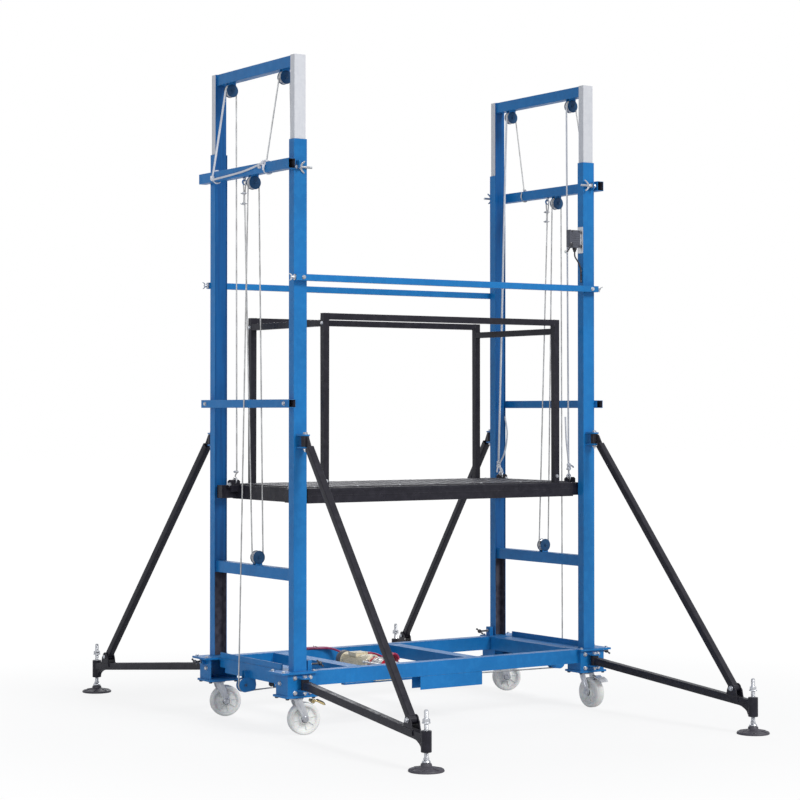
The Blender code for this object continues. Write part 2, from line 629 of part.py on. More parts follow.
# Trailing edge of the fork plate, (x, z): longer where it carries the brake
BRAKED_EDGE = [(0.070, 0.1375), (0.070, 0.1200)]
PLAIN_EDGE = [(0.050, 0.1375), (0.052, 0.1150)]

PEDAL_X, PEDAL_Z, PEDAL_BORE = 0.0640, 0.1290, 0.0038
PEDAL_SLEEVE = symmetric([(-0.0200, PEDAL_BORE), (-0.0200, 0.0072)])
# (x, z)
PEDAL_OUTLINE = [(0.0690, 0.1280), (0.0690, 0.1325), (0.0860, 0.1290), (0.1080, 0.1200),
                 (0.1120, 0.1125), (0.1080, 0.1110), (0.0840, 0.1235)]


def castor_fork(name, place, origin):
    outline = [(-0.028, 0.1375)] + (BRAKED_EDGE if name in BRAKED else PLAIN_EDGE) + [
        (TRAIL + 0.014, AXLE_Z), (TRAIL + 0.010, AXLE_Z - 0.011),
        (TRAIL - 0.010, AXLE_Z - 0.011), (TRAIL - 0.014, AXLE_Z), (-0.026, 0.1180)]
    parts = [turned(SWIVEL_PROFILE, (0, 0, 0), (0, 0, 1), 28),
             box((-0.0265, 0.048), about(0, 0.0258), (0.1340, 0.1390))]
    parts += [prism(outline, "y", side * 0.0235, side * 0.0265) for side in (-1, 1)]
    parts.append(rod_y(TRAIL, about(0, 0.0300), AXLE_Z, 0.0060, 16))
    parts += [rod_y(TRAIL, mirror((0.0260, 0.0320), side), AXLE_Z, 0.0100, 6)  # axle nuts
              for side in (-1, 1)]
    if name in BRAKED:
        parts.append(rod_y(PEDAL_X, about(0, 0.0265), PEDAL_Z, 0.0035, 12))
    piece(f"castor_fork_{name}", "zinc", parts, origin=origin, place=place)


def castor_wheel(name, place):
    centre = (TRAIL, 0, AXLE_Z)
    piece(f"castor_wheel_{name}", "nylon",
          [turned(WHEEL_PROFILE, centre, (0, 1, 0), 40, ring=True)],
          origin=place @ Vector(centre), place=place)


def brake_pedal(name, place):
    centre = (PEDAL_X, 0, PEDAL_Z)
    piece(f"brake_pedal_{name}", "zinc",
          [turned(PEDAL_SLEEVE, centre, (0, 1, 0), 16, ring=True),
           prism(PEDAL_OUTLINE, "y", -0.0190, 0.0190)],
          [rod_y(PEDAL_X, about(0, 0.03), PEDAL_Z, PEDAL_BORE, 16)],
          origin=place @ Vector(centre), place=place)


def castors():
    for name, (side_x, side_y) in CORNERS.items():
        x, y = side_x * CASTOR_X, side_y * CASTOR_Y
        heading = Matrix.Rotation(radians(CASTOR_HEADING[name]), 4, "Z")
        place = Matrix.Translation((x, y, 0)) @ heading
        castor_fork(name, place, (x, y, AXLE_Z))
        castor_wheel(name, place)
        if name in BRAKED:
            brake_pedal(name, place)


# ---- outriggers: drawn about the hinge, reaching out along local +X --------------------------
SPLAY = {"fl": 3.6, "fr": 3.5, "rl": 5.5, "rr": 5.5}  # degrees outwards at rest
REACH = 0.891  # hinge to jack spindle
ARM_SIZE, ARM_Z_IN, ARM_Z_OUT = 0.030, 0.197, 0.113
ARM_HALF = ARM_SIZE / 2
CLEVIS_X, CLEVIS_Z = 0.794, 0.165  # pin that joins the brace to the arm
BRACE_SIZE, BRACE_EYE_RADIUS = 0.0275, 0.0148
WEB_EDGE = 0.0127  # web edge from the middle of the brace tube
PAD_RADIUS, SPINDLE_RADIUS, SPINDLE_TOP = 0.063, 0.008, 0.212

# (z, radius): domed pad, ball joint, spindle
JACK_PROFILE = [(0, PAD_RADIUS), (0.0065, PAD_RADIUS), (0.0125, 0.034), (0.0200, 0.0150),
                (0.0300, 0.0160), (0.0380, 0.0150), (0.0440, SPINDLE_RADIUS),
                (SPINDLE_TOP - 0.0015, SPINDLE_RADIUS), (SPINDLE_TOP, SPINDLE_RADIUS - 0.0015)]


def on_arm(x):
    """The point of the arm's sloping centre line at x."""
    return x, 0, ARM_Z_IN + (ARM_Z_OUT - ARM_Z_IN) / REACH * x


def outrigger_place(name):
    side_x, side_y = CORNERS[name]
    splay = radians(SPLAY[name])
    along = Vector((side_x * sin(splay), side_y * cos(splay), 0))
    across = Vector((0, 0, 1)).cross(along)
    turn = Matrix(((along.x, across.x, 0, 0), (along.y, across.y, 0, 0),
                   (0, 0, 1, 0), (0, 0, 0, 1)))
    return Matrix.Translation((side_x * HALF_SPAN, side_y * PIVOT_Y, 0)) @ turn


def outrigger_arm(name, origin, place):
    """Tube with a hinge knuckle, a clevis for the brace and a sleeve for the jack."""
    arm = [
        bar(on_arm(0.004), on_arm(REACH - 0.004), ARM_SIZE, ARM_SIZE),
        rod_z(0, 0, (0.1780, 0.2187), 0.0160, 24),
        rod_z(REACH, 0, (0.0660, 0.1400), 0.0190, 24),
    ]
    cut = [
        bar(on_arm(0.030), on_arm(REACH - 0.030), ARM_SIZE - 0.005, ARM_SIZE - 0.005),
        rod_z(0, 0, (0.1500, 0.2400), HINGE_BORE_RADIUS, 20),
        rod_z(REACH, 0, (0.0400, 0.1600), SPINDLE_RADIUS + 0.0004, 20),
        rod_z(0.050, 0, (0.1700, 0.1900), 0.0040, 12),  # drain hole
    ]
    plate = [(x, on_arm(x)[2] - 0.004) for x in (CLEVIS_X - 0.030, CLEVIS_X + 0.034)]
    plate += [(CLEVIS_X + 0.022, CLEVIS_Z + 0.004), (CLEVIS_X + 0.014, CLEVIS_Z + 0.016),
              (CLEVIS_X - 0.010, CLEVIS_Z + 0.018), (CLEVIS_X - 0.020, CLEVIS_Z + 0.008)]
    clevis = [prism(plate, "y", side * (ARM_HALF - 0.0008), side * (ARM_HALF + 0.0044))
              for side in (-1, 1)]
    clevis.append(rod_y(CLEVIS_X, (-ARM_HALF - 0.0120, ARM_HALF + 0.0090), CLEVIS_Z, 0.0050, 16))
    piece(f"outrigger_arm_{name}", "black_paint", arm, cut, clevis, origin=origin, place=place)


def outrigger_brace(name, origin, place):
    """Tube from an eye in the clevis up to a web and knuckle on the post; its top is open."""
    foot, head = Vector((CLEVIS_X, 0, CLEVIS_Z)), Vector((0.014, 0, BRACE_Z))
    run = (head - foot).normalized()
    over = Vector((0, 1, 0)).cross(run)
    tube_top = foot + run * ((0.034 - CLEVIS_X) / run.x)
    web_end = tube_top - run * 0.040  # inside the tube
    web = [
        web_end + over * WEB_EDGE, tube_top + over * WEB_EDGE,
        Vector((0.024, 0, BRACE_Z + 0.017)), Vector((0.008, 0, BRACE_Z + 0.017)),
        Vector((0.008, 0, BRACE_Z - 0.017)), Vector((0.0222, 0, BRACE_Z - 0.017)),
        tube_top - over * WEB_EDGE, web_end - over * WEB_EDGE,
    ]
    bore = BRACE_SIZE - 0.0042
    piece(
        f"outrigger_brace_{name}", "black_paint",
        [bar(foot, tube_top, BRACE_SIZE, BRACE_SIZE)],
        [bar(foot + run * 0.025, tube_top + run * 0.010, bore, bore)],
        [rod_y(CLEVIS_X, about(0, 0.0132), CLEVIS_Z, BRACE_EYE_RADIUS, 18),
         prism([(p.x, p.z) for p in web], "y", -0.0040, 0.0040),
         rod_z(0, 0, about(BRACE_Z, 0.0200), 0.0155, 20)],
        [rod_z(0, 0, about(BRACE_Z, 0.0600), HINGE_BORE_RADIUS, 16),
         rod_y(CLEVIS_X, about(0, 0.05), CLEVIS_Z, 0.0055, 14)],
        origin=origin, place=place)


def outrigger_jack(name, place):
    """The turned jack and its hexagonal adjusting nut."""
    jack = [turned(JACK_PROFILE, (REACH, 0, 0), (0, 0, 1), 32),
            rod_z(REACH, 0, (0.1650, 0.1790), 0.0150, 6)]
    piece(f"outrigger_jack_{name}", "zinc", jack, origin=place @ Vector((REACH, 0, 0)),
          place=place)


def outriggers():
    for name, (side_x, side_y) in CORNERS.items():
        place = outrigger_place(name)
        x, y = side_x * HALF_SPAN, side_y * PIVOT_Y
        outrigger_arm(name, (x, y, ARM_Z_IN), place)
        outrigger_brace(name, (x, y, BRACE_Z), place)
        outrigger_jack(name, place)


def clamp_screws():
    """Screw, round head and a slanting tommy bar through the head."""
    for name, (side_x, side_y) in CORNERS.items():
        clamp = clamp_at(side_x, side_y)
        y, z = side_y * HALF_GAUGE, clamp.z
        head_x = side_x * (clamp.head + clamp.outwards * 0.002)
        piece(f"clamp_screw_{name}", "zinc", [
            rod((side_x * clamp.tip, y, z), (side_x * clamp.head, y, z), 0.0040, 14),
            turned([(-0.006, 0.006), (0, 0.0085), (0.006, 0.006)], (head_x, y, z), (1, 0, 0), 16),
            rod((head_x, y - 0.020, z - 0.008), (head_x, y + 0.020, z + 0.008), 0.0035, 12),
        ], origin=(side_x * clamp.head, y, z))


# ---- sheaves and ropes -----------------------------------------------------------------------
SHEAVE_RADIUS, GROOVE_RADIUS, SHEAVE_BORE, SHEAVE_HALF = 0.0250, 0.0215, 0.0044, 0.008
SHEAVE_PROFILE = symmetric([(-SHEAVE_HALF, SHEAVE_BORE), (-SHEAVE_HALF, SHEAVE_RADIUS),
                            (-0.0020, GROOVE_RADIUS)])
ROPE_RADIUS = 0.003


def sheave(name, x, y, z):
    piece(f"sheave_{name}", "zinc",
          [turned(SHEAVE_PROFILE, (x, y, z), (0, 1, 0), 22, ring=True)], origin=(x, y, z))


def sheaves():
    for name, side in SIDES.items():
        mast_x, bar_x = side * HALF_SPAN, side * CROSSBAR_X
        for end, side_y in ENDS.items():
            sheave(f"top_{end}_{name}", mast_x, side_y * TOP_SHEAVE_Y, TOP_SHEAVE_Z)
        sheave(f"crossbar_{name}", bar_x, BAR_SHEAVE_Y[name], BAR_SHEAVE_Z)
        sheave(f"mast_foot_{name}", mast_x, FOOT_SHEAVE_Y[name], FOOT_SHEAVE_Z)
        sheave(f"base_{name}", bar_x, BASE_SHEAVE_Y[name], BASE_SHEAVE_Z)


def hoist_ropes():
    """The fall of each hoisting rope from the base sheave up to the crossbar sheave."""
    for name, side in SIDES.items():
        x = side * (CROSSBAR_X + GROOVE_RADIUS + ROPE_RADIUS + FIT)
        fall = rod((x, BASE_SHEAVE_Y[name], BASE_SHEAVE_Z),
                   (x, BAR_SHEAVE_Y[name], BAR_SHEAVE_Z), ROPE_RADIUS, 10)
        piece(f"hoist_rope_{name}", "rope", [fall])


def main():
    for old in list(bpy.data.objects):
        bpy.data.objects.remove(old, do_unlink=True)
    base_frame()
    control_sleeve()
    hoist_motor()
    winch_drum()
    outer_posts()
    crossbars()
    tie_rails()
    limit_switch()
    inner_masts()
    platform_frame()
    deck_plate()
    guard_rails()
    castors()
    outriggers()
    clamp_screws()
    sheaves()
    hoist_ropes()


main()
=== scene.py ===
"""Looks of a rope-hoisted lifting scaffold: finishes, ropes, fasteners and studio, built round
its CAD frame. Metres, +Z up, floor at z = 0. Left is -X, right is +X, front is -Y, rear is +Y.
The chassis stands on castors and outriggers; ropes lift the two masts and the platform."""

import math
import random
from functools import cached_property
from math import asin, cos, pi, radians, sin

import bmesh
import bpy
from mathutils import Matrix, Vector


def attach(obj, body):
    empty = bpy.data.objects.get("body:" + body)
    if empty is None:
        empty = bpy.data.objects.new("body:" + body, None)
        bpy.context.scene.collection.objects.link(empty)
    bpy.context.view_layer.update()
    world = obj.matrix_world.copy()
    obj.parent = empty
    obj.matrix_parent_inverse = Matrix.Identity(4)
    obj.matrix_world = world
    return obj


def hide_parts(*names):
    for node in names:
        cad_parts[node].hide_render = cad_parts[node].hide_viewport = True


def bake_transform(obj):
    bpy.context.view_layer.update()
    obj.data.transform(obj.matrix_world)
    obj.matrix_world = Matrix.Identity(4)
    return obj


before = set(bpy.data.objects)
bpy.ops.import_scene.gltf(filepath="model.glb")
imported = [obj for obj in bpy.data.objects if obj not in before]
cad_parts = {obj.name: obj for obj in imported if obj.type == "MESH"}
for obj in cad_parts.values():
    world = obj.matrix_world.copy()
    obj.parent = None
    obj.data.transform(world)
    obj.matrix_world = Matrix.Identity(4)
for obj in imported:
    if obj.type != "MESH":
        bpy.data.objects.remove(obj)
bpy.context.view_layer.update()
random.seed(20)

# ---- dimensions shared with the frame ----------------------------------------------------------
POST_X, POST_Y = 0.705, 0.310
BAR_X = 0.7505  # crossbars
UPPER_Z, MIDDLE_Z, TIE_Z = 2.178, 1.264, 1.745
BAR_FACE = 0.016  # half a crossbar's width
TOP_Y, TOP_Z = 0.211, 2.525  # sheaves on the mast tops
BAR_SHEAVE_Z, FOOT_Z, BASE_Z = 2.129, 0.660, 0.160
BAR_Y = {"left": -0.050, "right": -0.054}
FOOT_Y = {"left": -0.006, "right": -0.020}
BASE_Y = {"left": 0.020, "right": -0.060}
EYE_Y = {"left": 0.035, "right": 0.000}
GROOVE = 0.0215
ROPE_R = 0.003
SHEATH_R = 0.0043
RUN = GROOVE + ROPE_R  # rope centre line round a sheave
HOIST_X, HOIST_Z = -0.205, 0.212
AXLE_Z, TRAIL = 0.063, 0.031
CASTOR_X, CASTOR_Y = 0.710, 0.305
HEADING = {"fl": -14.0, "fr": -88.0, "rl": -18.0, "rr": -30.0}  # degrees
PIVOT_Y, REACH = 0.365, 0.891
SPLAY = {"fl": 3.6, "fr": 3.5, "rl": 5.5, "rr": 5.5}  # degrees
CLEVIS_X, CLEVIS_Z, BRACE_Z = 0.794, 0.165, 1.120  # CLEVIS_X is measured from the arm's pivot
BOTH = (-1, 1)
CORNERS = {"fl": (-1, -1), "fr": (1, -1), "rl": (-1, 1), "rr": (1, 1)}  # signs of x and y
SIDES = {"left": -1, "right": 1}  # sign of x

X, Y, Z = (1, 0, 0), (0, 1, 0), (0, 0, 1)


# ---- materials ---------------------------------------------------------------------------------
class Tree:
    """A short way to write a node tree."""

    def __init__(self, name):
        self.material = bpy.data.materials.new(name)
        self.material.use_nodes = True
        self.tree = self.material.node_tree
        self.tree.nodes.clear()
        self.out = self.node("ShaderNodeOutputMaterial")
        self.bsdf = self.node("ShaderNodeBsdfPrincipled")
        self.link(self.bsdf.outputs[0], self.out.inputs[0])
        self.coord = self.node("ShaderNodeTexCoord").outputs["Object"]

    @cached_property
    def normal(self):
        return self.node("ShaderNodeNewGeometry").outputs["Normal"]

    def link(self, source, target):
        self.tree.links.new(source, target)

    def node(self, kind, **values):
        made = self.tree.nodes.new(kind)
        for key, value in values.items():
            setattr(made, key, value)
        return made

    def put(self, socket, value):
        if isinstance(value, bpy.types.NodeSocket):
            self.link(value, socket)
        else:
            socket.default_value = value

    def math(self, operation, first, second=0.0):
        made = self.node("ShaderNodeMath", operation=operation)
        self.put(made.inputs[0], first)
        self.put(made.inputs[1], second)
        return made.outputs[0]

    def add(self, first, second):
        return self.math("ADD", first, second)

    def minus(self, first, second):
        return self.math("SUBTRACT", first, second)

    def times(self, first, second):
        return self.math("MULTIPLY", first, second)

    def absolute(self, value):
        return self.math("ABSOLUTE", value)

    def under(self, value, limit):
        return self.math("LESS_THAN", value, limit)

    def over(self, value, limit):
        return self.math("GREATER_THAN", value, limit)

    def noise(self, scale, detail=3.0, rough=0.55, stretch=None, distort=0.0):
        vector = self.coord
        if stretch:
            mapping = self.node("ShaderNodeMapping")
            mapping.inputs["Scale"].default_value = stretch
            self.link(vector, mapping.inputs["Vector"])
            vector = mapping.outputs[0]
        made = self.node("ShaderNodeTexNoise")
        self.link(vector, made.inputs["Vector"])
        made.inputs["Scale"].default_value = scale
        made.inputs["Detail"].default_value = detail
        made.inputs["Roughness"].default_value = rough
        made.inputs["Distortion"].default_value = distort
        return made.outputs["Fac"]

    def ramp(self, value, low, high, to=(0.0, 1.0)):
        """A smooth step from to[0] at low to to[1] at high."""
        made = self.node("ShaderNodeMapRange", clamp=True, interpolation_type="SMOOTHSTEP")
        self.put(made.inputs[0], value)
        for i, v in enumerate((low, high, *to)):
            made.inputs[i + 1].default_value = v
        return made.outputs[0]

    def patches(self, low, high, to=(0.0, 1.0), **noise):
        return self.ramp(self.noise(**noise), low, high, to)

    def mix(self, factor, first, second):
        made = self.node("ShaderNodeMix", data_type="RGBA", blend_type="MIX")
        self.put(made.inputs[0], factor)
        for socket, value in ((made.inputs[6], first), (made.inputs[7], second)):
            self.put(socket, (*value, 1.0) if isinstance(value, tuple) else value)
        return made.outputs[2]

    def cover(self, color, other, mask, amount):
        """Lay part of another colour over this one where the mask is 1."""
        return self.mix(self.times(mask, amount), color, other)

    def separate(self, vector):
        made = self.node("ShaderNodeSeparateXYZ")
        self.link(vector, made.inputs[0])
        return made.outputs

    def bump(self, height, strength, distance):
        made = self.node("ShaderNodeBump")
        made.inputs["Strength"].default_value = strength
        made.inputs["Distance"].default_value = distance
        self.link(height, made.inputs["Height"])
        return made.outputs[0]

    def edges(self, radius):
        """1 on a convex or concave edge of the shape, 0 on its flats."""
        bevel = self.node("ShaderNodeBevel", samples=4)
        bevel.inputs["Radius"].default_value = radius
        dot = self.node("ShaderNodeVectorMath", operation="DOT_PRODUCT")
        self.link(bevel.outputs[0], dot.inputs[0])
        self.link(self.normal, dot.inputs[1])
        return self.ramp(dot.outputs["Value"], low=0.995, high=0.90)

    def up(self):
        return self.ramp(self.separate(self.normal)[2], low=0.55, high=0.95)

    def set(self, **values):
        names = {"color": "Base Color", "rough": "Roughness", "metal": "Metallic",
                 "normal": "Normal", "coat": "Coat Weight", "coat_rough": "Coat Roughness",
                 "specular": "Specular IOR Level", "subsurface": "Subsurface Weight"}
        for key, value in values.items():
            self.put(self.bsdf.inputs[names[key]], value)
        return self.material


def scaled(color, factor, lift=0.0):
    return tuple(min(1.0, c * factor + lift) for c in color)


def painted(name, base, worn, primer, rough=(0.30, 0.44), peel=0.30, dust=0.16, wear=0.5,
            inside=None, galvanised=None, recess=None):
    """Sprayed enamel on steel: orange peel, slow tint changes, fine scratches, dust on top faces
    and paint rubbed down at edges. The last three are functions that give a mask: near-black
    painted shade, unpainted zinc and darker blue painted shade."""
    tree = Tree(name)
    slow = tree.patches(low=0.35, high=0.68, scale=2.6, detail=2.0)
    fine = tree.noise(scale=38.0, detail=4.0)
    color = tree.mix(slow, base, scaled(base, 0.84))
    color = tree.cover(color, worn, tree.ramp(fine, low=0.42, high=0.66), amount=0.20)
    runs = tree.noise(scale=9.0, detail=2.0, stretch=(9.0, 9.0, 0.35))
    color = tree.cover(color, scaled(base, 0.66), tree.ramp(runs, low=0.52, high=0.70),
                       amount=0.12)
    scratch = tree.times(
        tree.patches(low=0.655, high=0.70, scale=34.0, detail=5.0, rough=0.7,
                     stretch=(1.0, 1.0, 14.0)),
        tree.patches(low=0.50, high=0.62, scale=5.0, detail=1.0))
    color = tree.cover(color, worn, scratch, amount=0.45)
    edge = tree.edges(radius=0.0016)
    rubbed = tree.times(edge, tree.patches(low=0.47, high=0.62, scale=55.0, detail=4.0, rough=0.65))
    color = tree.cover(color, worn, edge, amount=0.22)
    color = tree.cover(color, primer, rubbed, amount=wear)
    powder = tree.times(tree.up(),
                        tree.patches(low=0.36, high=0.72, scale=14.0, detail=5.0, rough=0.7))
    color = tree.cover(color, (0.52, 0.51, 0.49), powder, amount=dust)
    roughness = tree.add(tree.patches(low=0.3, high=0.7, to=rough, scale=21.0),
                         tree.times(powder, 0.22))
    height = tree.add(tree.times(tree.noise(scale=430.0, detail=2.0), peel),
                      tree.times(tree.noise(scale=60.0, detail=2.0), 0.25))
    height = tree.minus(height, tree.times(rubbed, 0.25))
    height = tree.minus(height, tree.times(scratch, 0.30))
    normal = tree.bump(height, strength=0.30, distance=0.0006)
    metal = tree.times(rubbed, wear * 0.8)
    if recess:  # painted shade: darker blue on faces inside the post channels and on mast faces towards the other post
        shade_navy = tree.mix(tree.ramp(runs, low=0.42, high=0.66),
                        (0.0045, 0.092, 0.300), (0.0040, 0.066, 0.230))
        color = tree.cover(color, shade_navy, recess(tree), amount=0.85)
    if inside:  # painted shade: near-black inside the post channels low down and inside the open crossbar tubes
        mask = inside(tree)
        shade_black = tree.mix(tree.ramp(fine, low=0.35, high=0.65),
                        (0.050, 0.047, 0.066), (0.095, 0.090, 0.115))
        color = tree.mix(mask, color, shade_black)
        roughness = tree.add(roughness, tree.times(mask, 0.15))
    if galvanised:  # unpainted spangled zinc
        mask = galvanised(tree)
        spangle = tree.node("ShaderNodeTexVoronoi", feature="F1")
        tree.link(tree.coord, spangle.inputs["Vector"])
        spangle.inputs["Scale"].default_value = 85.0
        shade = tree.ramp(tree.separate(spangle.outputs["Color"])[0], low=0.0, high=1.0)
        streak = tree.patches(low=0.35, high=0.68, scale=16.0, detail=4.0,
                              stretch=(14.0, 14.0, 0.6))
        zinc = tree.cover((0.63, 0.645, 0.68), (0.54, 0.555, 0.60), shade, amount=0.40)
        zinc = tree.cover(zinc, (0.69, 0.685, 0.71), streak, amount=0.35)
        zinc = tree.cover(zinc, (0.70, 0.71, 0.76), edge, amount=0.4)
        color = tree.mix(mask, color, zinc)
        metal = tree.math("MAXIMUM", metal, tree.times(mask, 0.15))
        roughness = tree.add(roughness, tree.times(mask, 0.16))
    return tree.set(color=color, rough=roughness, metal=metal, normal=normal, coat=0.04,
                    coat_rough=0.25, specular=0.24)


def zinc_plated(name, base=(0.66, 0.67, 0.69), tint=(0.47, 0.48, 0.51), rough=(0.22, 0.42),
                grime=(0.10, 0.09, 0.08), dirt=0.35):
    tree = Tree(name)
    cloud = tree.patches(low=0.36, high=0.66, scale=24.0, detail=4.0, rough=0.62)
    color = tree.mix(cloud, base, tint)
    dirty = tree.patches(low=0.56, high=0.74, scale=90.0, detail=5.0, rough=0.7)
    color = tree.cover(color, grime, dirty, amount=dirt)
    color = tree.cover(color, scaled(base, 1.35), tree.edges(radius=0.0010), amount=0.4)
    roughness = tree.add(tree.patches(low=0.3, high=0.7, to=rough, scale=60.0),
                         tree.times(dirty, 0.2))
    height = tree.add(tree.noise(scale=320.0), tree.times(tree.noise(scale=50.0), 0.5))
    return tree.set(color=color, rough=roughness, metal=tree.minus(0.95, tree.times(dirty, dirt)),
                    normal=tree.bump(height, strength=0.22, distance=0.0005))


def plastic(name, base, dark, rough=(0.38, 0.52), grain=700.0, subsurface=0.0,
            scuff=(0.6, 0.6, 0.6), scuffed=0.2):
    """Moulded plastic or rubber: scuff is the colour of the marks and scuffed their strength."""
    tree = Tree(name)
    color = tree.mix(tree.patches(low=0.35, high=0.68, scale=12.0, detail=4.0), base, dark)
    mark = tree.patches(low=0.58, high=0.70, scale=70.0, detail=6.0, rough=0.72, distort=0.6)
    color = tree.cover(color, scuff, mark, amount=scuffed)
    color = tree.cover(color, scaled(base, 1.3, lift=0.02), tree.edges(radius=0.0012), amount=0.25)
    roughness = tree.patches(low=0.3, high=0.7, to=rough, scale=40.0)
    height = tree.add(tree.noise(scale=grain, detail=2.0), tree.times(mark, -0.5))
    return tree.set(color=color, rough=roughness, metal=0.0, subsurface=subsurface,
                    normal=tree.bump(height, strength=0.22, distance=0.0004))


def strand_steel(name):
    """Bright wire rope: the strands are in the mesh, the wires of a strand are a fine bump."""
    tree = Tree(name)
    wires = tree.noise(scale=650.0, detail=2.0, stretch=(1.0, 1.0, 0.35))
    color = tree.mix(tree.patches(low=0.35, high=0.68, scale=18.0),
                     (0.60, 0.60, 0.60), (0.42, 0.41, 0.40))
    color = tree.cover(color, (0.20, 0.19, 0.18), tree.ramp(wires, low=0.50, high=0.72),
                       amount=0.55)
    return tree.set(color=color, rough=tree.ramp(wires, low=0.3, high=0.7, to=(0.28, 0.50)),
                    metal=0.85, normal=tree.bump(wires, strength=0.5, distance=0.0004))


def beside(tree, x, middle):
    """Distance in x from a part at +middle or -middle."""
    return tree.absolute(tree.minus(tree.absolute(x), middle))


def within_post(tree, inner_y):
    """1 inside an outer post's section, farther than inner_y from the middle of the frame."""
    x, y, z = tree.separate(tree.coord)
    near = tree.under(beside(tree, x, POST_X), 0.0271)
    near = tree.times(near, tree.under(tree.absolute(y), 0.3270))
    return near, tree.over(tree.absolute(y), inner_y), z


def in_channel(tree):
    """1 low down on the inside of an outer post's channel."""
    near, beyond, z = within_post(tree, inner_y=0.2925)
    return tree.times(near, tree.times(beyond, tree.under(z, 0.60)))


def between_flanges(tree):
    """1 on the faces of an outer post that look at the mast in it or at the other post."""
    near, beyond, _ = within_post(tree, inner_y=0.2890)
    return tree.times(near, beyond)


def towards_other_post(tree):
    """1 on the side of an inner mast post that looks at the other post."""
    y = tree.separate(tree.coord)[1]
    return tree.times(tree.over(tree.absolute(y), 0.2925), tree.under(tree.absolute(y), 0.2946))


def on_outer_faces(tree):
    """1 on an inner mast post except on the face towards the other post."""
    x, y, _ = tree.separate(tree.coord)
    outside = tree.math("MAXIMUM", tree.over(beside(tree, x, POST_X), 0.0238),
                        tree.over(tree.absolute(y), 0.3243))
    return tree.times(outside, tree.over(tree.absolute(y), 0.2946))


def inside_tube(z_half, z_mid):
    def mask(tree):
        x, _, z = tree.separate(tree.coord)
        return tree.times(tree.under(beside(tree, x, BAR_X), 0.0142),
                          tree.under(tree.absolute(tree.minus(z, z_mid)), z_half))
    return mask


BLUE, BLUE_WORN, PRIMER = (0.010, 0.176, 0.485), (0.024, 0.245, 0.580), (0.25, 0.26, 0.28)


def blue_enamel(name, base=BLUE, worn=BLUE_WORN, **values):
    return painted(name, base=base, worn=worn, primer=PRIMER, **values)


